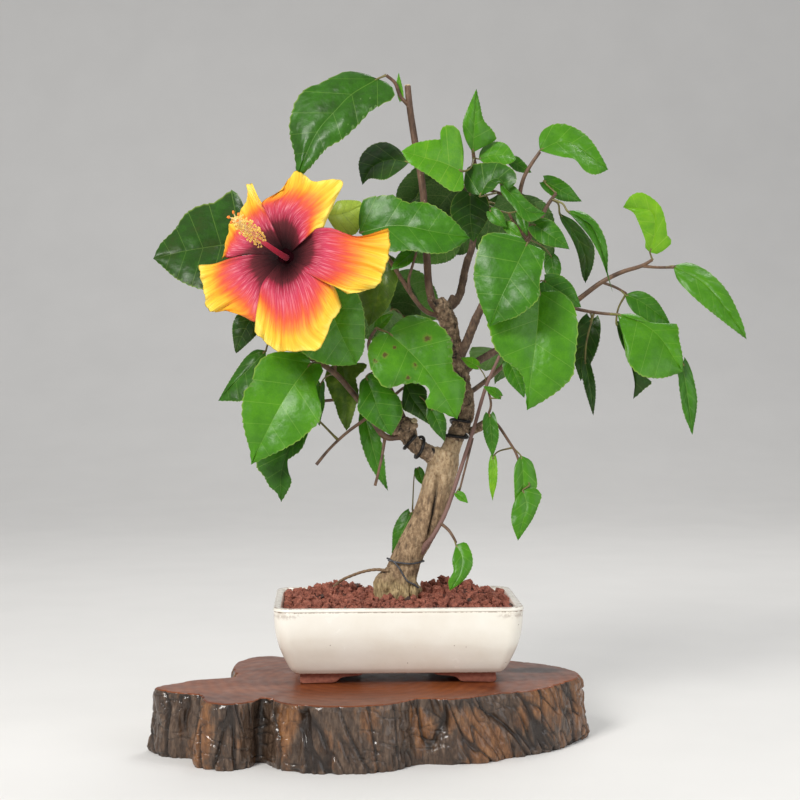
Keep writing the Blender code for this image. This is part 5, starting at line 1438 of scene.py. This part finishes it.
class Growth:
    """What has grown so far: shoots and stalks as paths, leaves as joined meshes."""

    def __init__(self):
        self.standing = {n: self.solid(n) for n in BUILT_FIRST}
        self.shoots, self.stalks, self.leaves = [], [], {"front": [], "back": []}

    def solid(self, name):
        mesh = frame["nodes"][name].data
        return surface_of([v.co for v in mesh.vertices], [p.vertices[:] for p in mesh.polygons])

    def mass(self, name, carrier, twigs, leaves, kind, facing):
        joints, blades = [], []
        for k, rows in enumerate(twigs):
            points = [seen(a, u, d) for a, u, d, _ in rows]
            if k == 0:
                spot, normal, *_ = self.standing[carrier].find_nearest(points[0])
                points[0] = spot - normal * SEAT_DEEP * MM
            joints += open_curve(points, 2)
            self.shoots.append((open_curve(points, 6), spread([r for *_, r in rows], 6)))
        for number, (base, tip, width, turn, arch, tint, *shape) in enumerate(leaves):
            for shift in DEPTH_TRIES:
                blade = Blade((*base[:2], base[2] + shift), (*tip[:2], tip[2] + shift), width, turn, arch,
                              facing)
                far_enough = [p for p in joints if (p - blade.base).length > LEAST_STALK * MM]
                path = stalk_path(blade, min(far_enough, key=lambda p: (p - blade.base).length))
                surface = surface_of(*blade.body())
                stalk = surface_of(*round_limb(path, (PETIOLE_R, 0.94 * PETIOLE_R, 0.88 * PETIOLE_R), 3))
                solids = self.standing.values()
                if is_clear(surface, [*solids, *blades]) and is_clear(stalk, solids):
                    blades.append(surface)
                    outline = Outline(blade, *shape) if shape else None
                    self.leaves[kind].append(leaf_mesh(blade, tint, len(name) * 100 + number, outline,
                                                       (name, number) == SPOTTED))
                    ends = [blade.base, blade.point(0.06, 0, -0.2)]
                    if outline:
                        ends = [outline.on_blade(outline.midrib.at(k), -0.2) * MM for k in (0.0, 0.06)]
                    smooth = open_curve([*path[:-1], *ends], 5)
                    fat = [1.35 - 0.55 * math.sin(math.pi * min(1.0, i / (len(smooth) - 1) * 1.2)) ** 0.4
                           for i in range(len(smooth))]
                    scale = min(1.0, 0.45 + blade.length / MM / 110)
                    self.stalks.append((smooth, [r * scale for r in fat]))
                    break
        self.standing[name] = self.solid(name)


def leaf_tone(finish, shift=0.0):
    """The tint a leaf was given, uneven over its surface."""
    uneven = finish.noise(finish.place(), 14, 4, 0.6)
    tone = finish.math("ADD", finish.mark("tint"), finish.span(uneven, 0.3, 0.7, -0.07 + shift, 0.07 + shift))
    # The darkest greens are painted shade for leaves in shadow; the palest stop is a pale yellow-green with
    # painted light shining through the leaf.
    return finish.ramp(finish.span(tone, -0.3, 1.0), (0.115, (0.34, 0.47, 0.055)),
                       (0.23, (0.072, 0.145, 0.010)), (0.34, (0.026, 0.052, 0.004)),
                       (0.41, (0.016, 0.058, 0.003)), (0.56, (0.034, 0.148, 0.004)),
                       (0.74, (0.080, 0.275, 0.006)), (0.93, (0.23, 0.47, 0.010)))


def upper_side(name, spots=()):
    finish = Finish(name, Roughness=0.36, Specular_IOR_Level=0.24, Coat_Weight=0.10, Coat_Roughness=0.22)
    place = finish.place()
    green = leaf_tone(finish)
    netting = finish.cells(place, 2.6, feature="DISTANCE_TO_EDGE")
    green = finish.mix(finish.span(netting, 0.10, 0.0, 0.0, 0.22), green, leaf_tone(finish, 0.14))
    green = finish.mix(finish.span(finish.mark("across"), 0.96, 1.0, 0.0, 0.6), green, (0.30, 0.42, 0.07))
    specks = finish.noise(place, 1.6, 3, 0.6)
    green = finish.mix(finish.span(specks, 0.74, 0.80, 0.0, 0.5), green, (0.16, 0.13, 0.03))
    flat = finish.add("VectorMath", {0: place, 1: (1, 0, 1)}, operation="MULTIPLY") if spots else None
    for (x, _, z), radius in spots:
        away = finish.add("VectorMath", {0: flat, 1: (x, 0, z)}, out="Value", operation="DISTANCE")
        away = finish.math("ADD", away, finish.span(finish.noise(place, 2.6, 4, 0.7), 0.3, 0.7, -1.4, 1.4))
        green = finish.mix(finish.span(away, radius * 2.2, radius * 0.8, 0.0, 0.5), green, (0.20, 0.24, 0.03))
        green = finish.mix(finish.span(away, radius * 1.15, radius * 0.55, 0.0, 0.9), green,
                           (0.075, 0.045, 0.012))
    finish.paint(green)
    finish.rough(finish.span(finish.noise(place, 6, 3), 0.3, 0.7, 0.32, 0.48))
    finish.bump(finish.noise(place, 8, 1), 1.1)
    finish.bump(netting, 0.13)
    return finish.material


def vein_finish():
    finish = Finish("leaf_vein", Roughness=0.4, Specular_IOR_Level=0.4)
    finish.paint(finish.mix(0.2, leaf_tone(finish, 0.08), (0.26, 0.36, 0.06)))
    finish.bump(finish.noise(finish.place(), 0.8, 3), 0.04)
    return finish.material


def under_side(name, share, pale):
    finish = Finish(name, Roughness=0.6, Specular_IOR_Level=0.3)
    place = finish.place()
    green = finish.mix(share, leaf_tone(finish, 0.05), pale)
    netting = finish.cells(place, 2.6, feature="DISTANCE_TO_EDGE")
    finish.paint(finish.mix(finish.span(netting, 0.14, 0.0, 0.0, 0.35), green, (0.17, 0.27, 0.08)))
    finish.bump(finish.noise(place, 8, 2), 1.3)
    finish.bump(finish.noise(place, 1.2, 3), 0.08)
    return finish.material


def stem_finish(name, low, high):
    return grained(name, (6, 4, 0.6), ((0.3, low), (0.7, high)), (0.9, 3, 0.06), Roughness=0.5)


growth = Growth()
for name, (carrier, twigs, leaves) in MASSES.items():
    growth.mass(name, carrier, twigs, leaves, "front", FRONT_FACING)
for name, (carrier, stem, space, count, seed) in BACK_MASSES.items():
    growth.mass(name, carrier, (stem,), back_rows(stem, space, count, seed), "back", BACK_FACING)

EATEN_SPOTS = tuple((tuple(seen(a, u, -55) / MM), r) for a, u, r in
                    ((25.4, 318, 2.0), (-9, 304.4, 1.6), (-17, 299.6, 1.2), (-1, 310.8, 1.0), (15, 296.4, 1.4),
                     (9.4, 286.8, 1.3)))
LEAF_WELD = 0.01  # points of a leaf nearer than this are one
SHARP_FOLD = 60  # degrees: sharper folds aren't shaded smooth
leaf_finishes = [upper_side("leaf_upper_side"), vein_finish(),
                 under_side("leaf_under_side", 0.4, (0.11, 0.20, 0.055)), upper_side("spotted_leaf", EATEN_SPOTS),
                 under_side("leaf_under_vein", 0.7, (0.24, 0.34, 0.11))]
for kind, nodes in (("front", MASSES), ("back", BACK_MASSES)):
    points, faces, kinds, tints, acrosses = joined(growth.leaves[kind])
    leaves = piece(f"{kind}_leaves", points, faces, leaf_finishes, kinds, {"tint": tints, "across": acrosses})
    with reshaping(leaves) as work:
        bmesh.ops.remove_doubles(work, verts=work.verts, dist=LEAF_WELD * MM)
    leaves.data.shade_smooth()
    leaves.data.set_sharp_from_angle(angle=math.radians(SHARP_FOLD))
    belongs("foliage", nodes, leaves)
shoot_bark = stem_finish("shoot_bark", (0.055, 0.027, 0.016), (0.19, 0.105, 0.055))
shoots = stems("leafy_shoots", growth.shoots, shoot_bark, 10)
stalk_skin = stem_finish("leaf_stalk", (0.12, 0.075, 0.035), (0.22, 0.22, 0.050))
stalks = stems("leaf_stalks", growth.stalks, stalk_skin, 7)
belongs("foliage", [*MASSES, *BACK_MASSES], shoots, stalks)

FOOT_SHOOT = ((20, 146, -6, 2.4), (24, 152, -10, 2.6), (30, 160, -15, 1.9), (40, 179, -17, 1.7),
              (51, 211, -16, 1.6), (62, 245, -14, 1.5), (72, 279, -16, 1.4), (83, 304, -18, 1.2))
path, radii = limb_path(FOOT_SHOOT, 12)
uneven_radii = [r * (1 + 0.05 * math.sin(1.7 * i)) for i, r in enumerate(radii)]
belongs("young_bark", ["foot_shoot"],
        stems("foot_stem", [(path, uneven_radii)], bpy.data.materials["young_bark"], 12))

# --- The bloom ------------------------------------------------------------------------------------
# One open flower on a short stalk: five ruffled petals round a dark throat, a long column that
# carries the anthers and five stigma lobes in front, and a green cup of sepals behind.

BLOOM_CENTRE = (-89, 382, -56)
BLOOM_AXIS = Vector((-0.40, -0.839, 0.369)).normalized()
COLUMN_WAY = Vector((-0.493, -0.743, 0.453)).normalized()
COLUMN_LONG = 72.0
STALK_BEND = (-91, 346, -26)
# Each petal's rows from the throat to its margin, every point across and up, from its clockwise edge
# to the other; then how high its two edges lie, and how far yellow runs down each of them.
PETAL_NETS = {
    "right": ((-85.0, 378.8, -84.5, 379.6, -83.9, 380.4, -83.5, 381.5, -83.4, 382.5, -83.7, 383.6, -84.5,
        384.7), (-73.0, 371.1, -70.1, 373.1, -66.6, 377.7, -64.7, 384.4, -64.7, 391.7, -66.6, 398.4, -70.6,
        401.7), (-58.3, 363.1, -51.7, 363.7, -47.0, 371.1, -45.0, 380.4, -45.7, 391.1, -48.3, 400.4, -53.7,
        406.0), (-47.7, 358.4, -37.0, 357.7, -28.3, 365.1, -23.7, 376.4, -23.7, 387.1, -25.7, 395.1, -31.0,
        399.3), (-39.0, 352.9, -21.7, 356.7, -13.7, 361.1, -9.7, 371.1, -6.1, 381.7, -5.0, 395.1, -6.6, 406.0)),
    "bottom": ((-90.9, 380.4, -90.1, 379.6, -89.0, 378.9, -87.7, 378.7, -86.3, 378.7, -85.3, 379.1, -84.5,
        379.9), (-106.3, 362.4, -101.0, 361.1, -94.3, 359.7, -87.7, 359.7, -81.0, 363.0, -75.0, 369.1, -70.3,
        375.2), (-110.1, 347.1, -102.3, 341.7, -93.7, 337.1, -85.0, 336.4, -75.7, 340.1, -66.0, 351.1, -57.5,
        365.3), (-112.3, 332.4, -105.0, 325.1, -94.3, 319.1, -83.7, 318.4, -73.0, 321.1, -58.7, 334.4, -49.3,
        358.8), (-113.3, 323.1, -106.3, 316.7, -95.7, 308.1, -79.7, 307.6, -61.0, 310.0, -52.3, 329.1, -43.0,
        343.1)),
    "lower_left": ((-90.1, 384.1, -90.7, 383.5, -91.1, 382.7, -91.3, 381.7, -91.0, 380.9, -90.5, 380.1, -89.7,
        379.6), (-115.4, 384.4, -117.0, 380.4, -117.3, 375.1, -115.7, 369.7, -111.7, 365.7, -107.7, 362.4,
        -103.9, 361.1), (-131.7, 381.5, -135.0, 375.1, -134.1, 367.1, -129.7, 359.1, -122.3, 353.7, -114.3,
        349.7, -107.4, 345.7), (-145.7, 377.1, -147.7, 369.7, -145.7, 359.1, -141.0, 351.1, -133.0, 347.1,
        -122.3, 339.7, -111.9, 330.8), (-157.0, 376.4, -155.9, 367.1, -153.0, 355.1, -151.3, 343.1, -146.3,
        338.8, -139.0, 339.7, -131.4, 342.0)),
    "upper_left": ((-88.7, 385.7, -89.5, 385.6, -90.2, 385.3, -90.7, 384.9, -91.0, 384.4, -91.0, 383.9, -90.6,
        383.3), (-97.7, 406.4, -102.3, 405.7, -106.3, 403.1, -110.3, 399.1, -113.0, 394.4, -115.0, 389.7,
        -116.7, 384.4), (-101.0, 417.7, -106.3, 417.7, -113.0, 413.7, -119.7, 407.1, -125.0, 400.4, -129.0,
        392.4, -133.0, 381.5), (-108.3, 427.7, -111.7, 426.4, -116.3, 421.7, -122.3, 413.7, -127.7, 405.7,
        -132.3, 396.4, -136.3, 382.4), (-114.3, 440.7, -119.0, 439.7, -118.3, 430.4, -125.0, 417.1, -131.7,
        411.1, -134.1, 400.4, -138.9, 380.4)),
    "top": ((-84.7, 385.2, -85.4, 385.7, -86.2, 386.1, -87.0, 386.3, -87.7, 386.3, -88.3, 386.1, -89.0, 385.9),
        (-73.0, 396.4, -76.3, 404.4, -81.0, 409.7, -86.3, 412.4, -91.7, 412.1, -95.7, 409.7, -98.3, 406.4),
        (-65.0, 403.7, -65.7, 412.4, -69.7, 420.4, -78.3, 425.5, -87.7, 426.8, -97.0, 424.4, -104.3, 419.1),
        (-59.0, 405.5, -55.4, 417.7, -55.7, 432.4, -69.0, 435.7, -81.0, 438.4, -90.3, 431.7, -106.3, 426.3),
        (-58.1, 405.5, -49.3, 425.5, -43.0, 443.7, -65.7, 443.1, -78.3, 451.1, -85.7, 444.4, -90.3, 435.1)),
}
PETAL_EDGES = {"right": (5, 4, 0.16, -0.13), "bottom": (2, -3, 0.22, 0.04), "lower_left": (3, -4, 0.04, -0.20),
               "upper_left": (-4, -3, 0.10, -0.16), "top": (-3, 3, 0.34, -0.12)}
ROW_SHARES = (0.0, 0.33, 0.60, 0.85, 1.0)
ROW_HEIGHTS = (-23.0, -5.0, 1.5, 1.0, -4.0)
PETAL_ROWS, PETAL_COLUMNS = 46, 41
PETAL_SHEET = 0.45


def along_net(values, at):
    """A smooth curve through evenly numbered values."""
    low = min(int(at), len(values) - 2)
    a = values[low - 1] if low else values[0] * 2 - values[1]
    d = values[low + 2] if low + 2 < len(values) else values[-1] * 2 - values[-2]
    return catmull(a, values[low], values[low + 1], d, at - low)


def at_height(across, up, height):
    """The point seen at (across, up) that stands this high over the bloom's own plane."""
    return on_plane(across, up, seen(*BLOOM_CENTRE) / MM, BLOOM_AXIS, height) * MM


def petal_sheet(name, number):
    """(points, faces, shares, acrosses, glows) of one closed petal."""
    net = [[Vector((*p, 0.0)) for p in zip(row[::2], row[1::2])] for row in PETAL_NETS[name]]
    low_edge, high_edge, low_glow, high_glow = PETAL_EDGES[name]
    columns = [[along_net(row, 6 * c / (PETAL_COLUMNS - 1)) for row in net] for c in range(PETAL_COLUMNS)]
    heights = [Vector((h, 0, 0)) for h in ROW_HEIGHTS]

    def place(r, c):
        at = 4 * (r / (PETAL_ROWS - 1)) ** 0.85
        low = min(int(at), 3)
        share = ROW_SHARES[low] + (ROW_SHARES[low + 1] - ROW_SHARES[low]) * (at - low)
        grown = clamped((share - 0.3) / 0.4)
        margin = max(0.0, (share - 0.55) / 0.45) ** 1.6
        across = 2 * c / (PETAL_COLUMNS - 1) - 1
        flat = along_net(columns[c], at)
        rim = 3.0 * across + number
        frill = (math.sin(4.1 * rim + 1.3 * number) + 0.6 * math.sin(8.7 * rim + number) +
                 0.35 * math.sin(15.1 * rim))
        edge, lit = (low_edge, low_glow) if across < 0 else (high_edge, high_glow)
        height = along_net(heights, at).x + edge * across**2 * grown + 2.2 * frill * margin
        height += 0.5 * grown * math.sin(17 * across + 2.2 * number) * (1 - 0.5 * margin)
        out = Vector((flat.x - BLOOM_CENTRE[0], flat.y - BLOOM_CENTRE[1], 0)).normalized()
        flat = flat + out * margin**2 * (0.5 * math.sin(7.3 * rim + 0.7) + 0.22 * math.sin(19 * rim))
        glow = share + lit * abs(across) ** 2.2 * min(1.0, share * 1.6)
        return at_height(flat.x, flat.y, height), share, across + 2.5 * number, glow

    return thin_sheet(PETAL_ROWS, PETAL_COLUMNS, place, BLOOM_AXIS, PETAL_SHEET)


def petal_finish():
    finish = Finish("sunset_petal", Roughness=0.55, Specular_IOR_Level=0.3)
    ray = finish.add("CombineXYZ", {"X": finish.math("MULTIPLY", finish.mark("across"), 17.0),
                                    "Y": finish.math("MULTIPLY", finish.mark("share"), 2.2)}, out="Vector")
    broad = finish.add("TexNoise", {"Vector": ray, "Scale": 0.55, "Detail": 3.0}, out="Fac")
    fine = finish.add("TexNoise", {"Vector": ray, "Scale": 2.2, "Detail": 3.0}, out="Fac")
    uneven = finish.math("ADD", finish.span(broad, 0.3, 0.7, -0.055, 0.055),
                         finish.span(fine, 0.3, 0.7, -0.025, 0.025))
    steady = finish.span(finish.mark("glow"), 0.28, 0.60, 0.35, 1.0)
    tone = finish.math("ADD", finish.mark("glow"), finish.math("MULTIPLY", uneven, steady))
    colour = finish.ramp(tone, (0.08, (0.012, 0.001, 0.002)), (0.18, (0.060, 0.009, 0.012)),
                         (0.29, (0.135, 0.020, 0.027)), (0.345, (0.36, 0.018, 0.050)),
                         (0.44, (0.53, 0.040, 0.088)), (0.56, (0.60, 0.050, 0.058)),
                         (0.66, (0.66, 0.085, 0.026)), (0.76, (0.80, 0.22, 0.018)), (0.86, (0.90, 0.44, 0.025)),
                         (0.97, (0.93, 0.62, 0.055)), (1.10, (0.94, 0.70, 0.11)))
    window = finish.math("MULTIPLY", finish.span(tone, 0.31, 0.40), finish.span(tone, 0.68, 0.50))
    pale = finish.math("MULTIPLY", window, finish.span(fine, 0.50, 0.66, 0.0, 0.6))
    colour = finish.mix(pale, colour, (0.82, 0.34, 0.40))
    veins = finish.math("MULTIPLY", finish.span(tone, 0.62, 0.8), finish.span(fine, 0.42, 0.32, 0.0, 0.5))
    colour = finish.mix(veins, colour, (0.90, 0.32, 0.03))
    eye_veins = finish.math("MULTIPLY", finish.span(tone, 0.34, 0.26), finish.span(fine, 0.46, 0.34, 0.0, 0.7))
    finish.paint(finish.mix(eye_veins, colour, (0.010, 0.001, 0.002)))
    finish.bump(fine, 0.5)
    return finish.material


def anther_rule():
    """A small lump on every point, turned at random, between two sizes."""
    rule = Rule("set_anthers")
    small, large = rule.knob("Small", "Float"), rule.knob("Large", "Float")
    finish, seed = rule.knob("Finish", "Material"), rule.knob("Seed", "Int")
    ball = rule.add("GeometryNodeMeshUVSphere", {"Segments": 7, "Rings": 5, "Radius": 1.0})
    bean = rule.add("GeometryNodeTransform", {"Geometry": ball, "Scale": (1.0, 0.72, 0.6)})
    turn = rule.add("FunctionNodeRandomValue", {0: (-3.1, -3.1, -3.1), 1: (3.1, 3.1, 3.1), "Seed": seed},
                    data_type="FLOAT_VECTOR")
    size = rule.add("FunctionNodeRandomValue", {2: small, 3: large, "Seed": seed}, out=1)
    placed = rule.add("GeometryNodeInstanceOnPoints", {"Points": rule.start.outputs[0], "Instance": bean,
                                                       "Rotation": turn, "Scale": size})
    rule.finished(rule.smooth(placed), finish)
    return rule


def plain_finish(name, low, high, roughness=0.6, size=2.0):
    return grained(name, (size, 4, 0.6), ((0.32, low), (0.68, high)), (size * 0.4, 3, 0.08),
                   Roughness=roughness)


# The petals, and the floor of the throat that closes the hole between their feet: the eye's own dark red, painted
# near black and without shine as shade in the recess.
FLOOR_RINGS = ((3.0, 4.0), (1.5, 7.4), (-1.5, 8.4), (-0.5, 5.0), (0.5, 1.0))  # depth and radius
FLOOR_SIDES = 16
floor_side = BLOOM_AXIS.orthogonal().normalized()
throat = at_height(BLOOM_CENTRE[0] + 1.6, BLOOM_CENTRE[1], -22)
floor_ways = [toward(floor_side, BLOOM_AXIS.cross(floor_side), math.tau * i / FLOOR_SIDES)
              for i in range(FLOOR_SIDES)]
floor_points = [throat + (way * radius - BLOOM_AXIS * depth) * MM
                for depth, radius in FLOOR_RINGS for way in floor_ways]
floor_marks = [[0.02] * len(floor_points)] * 3
throat_floor = (floor_points, ring_faces(len(FLOOR_RINGS), FLOOR_SIDES), *floor_marks)
points, faces, shares, acrosses, glows = joined(
    [*(petal_sheet(name, number) for number, name in enumerate(PETAL_NETS)), throat_floor])
petal_kinds = [int(min(face) >= len(points) - len(floor_points)) for face in faces]
throat_shade = grained("throat_floor", (1.5, 3), ((0.3, (0.006, 0.001, 0.002)), (0.7, (0.018, 0.003, 0.005))),
                      Roughness=1.0, Specular_IOR_Level=0.0)
petals = piece("petals", points, faces, [petal_finish(), throat_shade], petal_kinds,
               {"share": shares, "across": acrosses, "glow": glows})

# The column, with its anthers on short threads and the five stigma lobes at its end.
ANTHERS, STIGMA_LOBES, THREAD_SEED = 150, 5, 11
centre = seen(*BLOOM_CENTRE)
tip = seen(-127, 412, -106)
column_path = open_curve([throat - BLOOM_AXIS * 2 * MM, throat.lerp(tip, 0.22) + Vector((0, 0, -1.0)) * MM,
                          throat.lerp(tip, 0.6) + Vector((0, 0, -1.5)) * MM, tip], 10)
fat = [2.7 - 1.3 * (i / (len(column_path) - 1)) ** 0.7 for i in range(len(column_path))]
column_finish = Finish("column_skin", Roughness=0.45, Subsurface_Weight=0.1)
column_height = column_finish.add("VectorMath", {0: column_finish.place(), 1: tuple(centre / MM)}, out="Value",
                                  operation="DISTANCE")
column_finish.paint(column_finish.ramp(column_finish.span(column_height, 0, COLUMN_LONG),
                                       (0.0, (0.40, 0.015, 0.045)), (0.25, (0.60, 0.06, 0.11)),
                                       (0.45, (0.74, 0.15, 0.19)), (0.62, (0.88, 0.46, 0.26)),
                                       (0.75, (0.94, 0.74, 0.34))))
column_finish.bump(column_finish.noise(column_finish.place(), 1.2, 3), 0.08)
column = stems("column", [(column_path, fat)], column_finish.material, 14)

dice = random.Random(THREAD_SEED)
frames = frames_along(column_path)
filaments, anther_spots, stigma_spots = [], [], []
for i in range(ANTHERS):
    share = 0.60 + 0.38 * (i / (ANTHERS - 1)) ** 0.9
    at = share * (len(column_path) - 1)
    low = min(int(at), len(column_path) - 2)
    start = column_path[low].lerp(column_path[low + 1], at - low)
    side, up = frames[low]
    out = toward(side, up, GOLDEN * i + dice.uniform(-0.3, 0.3))
    reach = dice.uniform(4.0, 7.2) * (1 - 0.25 * abs(share - 0.78) / 0.2)
    end = start + (out * reach + COLUMN_WAY * dice.uniform(-1.0, 2.6)) * MM
    filaments.append(([start, start.lerp(end, 0.55) + COLUMN_WAY * 0.5 * MM, end], [0.26, 0.2, 0.17]))
    anther_spots += [end, end + Vector([dice.uniform(-0.5, 0.5) for _ in range(3)]) * MM]
for i in range(STIGMA_LOBES):
    out = toward(*frames[-1], math.tau * i / STIGMA_LOBES + 0.4)
    end = tip + (COLUMN_WAY * 3.6 + out * 4.0) * MM
    filaments.append(([tip - COLUMN_WAY * 1.5 * MM, tip.lerp(end, 0.5) + out * 0.3 * MM, end],
                      [0.55, 0.42, 0.36]))
    stigma_spots += [end, end + out * 0.5 * MM]
threads = stems("anther_threads", filaments,
                plain_finish("thread_skin", (0.95, 0.62, 0.22), (1.0, 0.80, 0.40)), 5)
setting = anther_rule()
anthers = setting.grow(piece("anthers", anther_spots, [], []), Small=0.75 * MM, Large=1.15 * MM, Seed=4,
                       Finish=plain_finish("pollen", (0.93, 0.50, 0.06), (1.0, 0.80, 0.26), 0.85, 0.8))
stigmas = setting.grow(piece("stigmas", stigma_spots, [], []), Small=1.25 * MM, Large=1.5 * MM, Seed=7,
                       Finish=plain_finish("stigma_velvet", (0.85, 0.16, 0.02), (0.95, 0.33, 0.05), 0.9, 0.6))

# The green cup of sepals behind, the bracts round its foot and the stalk, down to the shoot.
CUP = ((36, 2.6), (34, 4.4), (31, 6.0), (28, 6.8), (25, 7.2), (23, 7.5))  # depth and radius
CUP_LOBES = ((22, 8.4), (19, 9.4), (22, 7.8), (25.5, 6.4), (28.5, 5.0), (32, 3.4))  # their outside, then inside
cup_points = []
side, up = frames_along([centre - BLOOM_AXIS * 36 * MM, centre])[0]
foot = throat + BLOOM_AXIS * 18.5 * MM
CUP_SIDES, BRACTS = 40, 7
for k, (depth, radius) in enumerate(CUP + CUP_LOBES):
    for i in range(CUP_SIDES):
        turn = math.tau * i / CUP_SIDES
        drop = (1 - abs(math.sin(2.5 * turn))) * 2.6 if k >= len(CUP) and depth < 23 else 0.0
        ridge = 1 + 0.05 * math.sin(10 * turn)
        cup_points.append(foot + (toward(side, up, turn) * radius * ridge - BLOOM_AXIS * (depth + drop)) * MM)
cup = facing_out(piece("sepal_cup", cup_points, ring_faces(len(CUP + CUP_LOBES), CUP_SIDES),
                       [stem_finish("sepal_green", (0.06, 0.16, 0.02), (0.15, 0.30, 0.05))]))
stalk_points = open_curve([open_curve([seen(*p[:3]) for p in BLOOM_TWIG], 2)[-1], seen(*STALK_BEND),
                           foot - BLOOM_AXIS * 31 * MM], 12)
bracts = []
for i in range(BRACTS):
    out = toward(side, up, math.tau * i / BRACTS)
    root = foot - BLOOM_AXIS * 32 * MM + out * 4 * MM
    bend, end = root + (out * 6 + BLOOM_AXIS * 5) * MM, root + (out * 9.5 + BLOOM_AXIS * 13) * MM
    bracts.append((open_curve([root, bend, end], 4), [0.9, 0.95, 1.0, 1.0, 0.95, 0.85, 0.7, 0.5, 0.25]))
bloom_stalk = stems("bloom_stalk", [(stalk_points, [1.9] * len(stalk_points)), *bracts],
                    stalk_skin, 10)
belongs("petals", ["bloom"], petals, column, threads, anthers, stigmas)
belongs("foliage", ["bloom"], cup, bloom_stalk)

# --- The stage ------------------------------------------------------------------------------------
# A plain pale floor, soft studio lights and the camera, level with the middle of the tree.

FLOOR_COLOUR = (0.78, 0.77, 0.75)
CAMERA_AT = (-0.055, -1.332, 0.311)
CAMERA_AIM = (0.003, 0.0, 0.2686)
CAMERA_LENS = 75.0
LIGHTS = (  # name, place, aim, width, watts, colour
    ("key_light", (-0.95, -1.25, 1.35), (0.0, 0.0, 0.27), 0.6, 31.0, (1.0, 0.98, 0.95)),
    ("fill_light", (1.3, -1.1, 0.75), (0.0, 0.0, 0.25), 1.2, 8.0, (0.96, 0.98, 1.0)),
    ("back_light", (0.6, 0.9, 2.0), (0.0, 0.0, 0.3), 0.8, 16.0, (1.0, 0.99, 0.97)),
)
SKY_COLOUR, SKY_STRENGTH = (0.96, 0.97, 1.0, 1.0), 0.42
COVE = ((-6.0, 0.0), (1.6, 0.0), (1.9, 0.02), (2.2, 0.10), (2.5, 0.26), (2.75, 0.50), (2.9, 0.80), (3.0, 1.2),
        (3.05, 2.0), (3.05, 6.0))  # the floor's section, (depth, height) in metres, up into the backdrop
cove = [Vector((x, y, z)) for y, z in COVE for x in (-6.0, 6.0)]
shade = tuple(0.97 * c for c in FLOOR_COLOUR)
pale_floor = grained("pale_floor", (120, 2), ((0.3, shade), (0.7, FLOOR_COLOUR)), Roughness=0.75)
floor = piece("floor", cove, [(k, k + 1, k + 3, k + 2) for k in range(0, len(cove) - 2, 2)], [pale_floor])


def aimed(made, place, aim):
    made.location = place
    made.rotation_euler = (Vector(aim) - Vector(place)).to_track_quat("-Z", "Y").to_euler()
    return made


for name, place, aim, width, watts, colour in LIGHTS:
    lamp = bpy.data.lights.new(name, "AREA")
    lamp.energy, lamp.size, lamp.color = watts, width, colour
    aimed(put_in_scene(name, lamp), place, aim)

world = bpy.data.worlds.new("soft_sky")
world.use_nodes = True
sky = world.node_tree.nodes["Background"].inputs
sky["Color"].default_value, sky["Strength"].default_value = SKY_COLOUR, SKY_STRENGTH
bpy.context.scene.world = world

lens = bpy.data.cameras.new("front_camera")
lens.lens, lens.sensor_width = CAMERA_LENS, 36.0
bpy.context.scene.camera = aimed(put_in_scene("front_camera", lens), CAMERA_AT, CAMERA_AIM)

bpy.context.scene.view_settings.view_transform = "Standard"
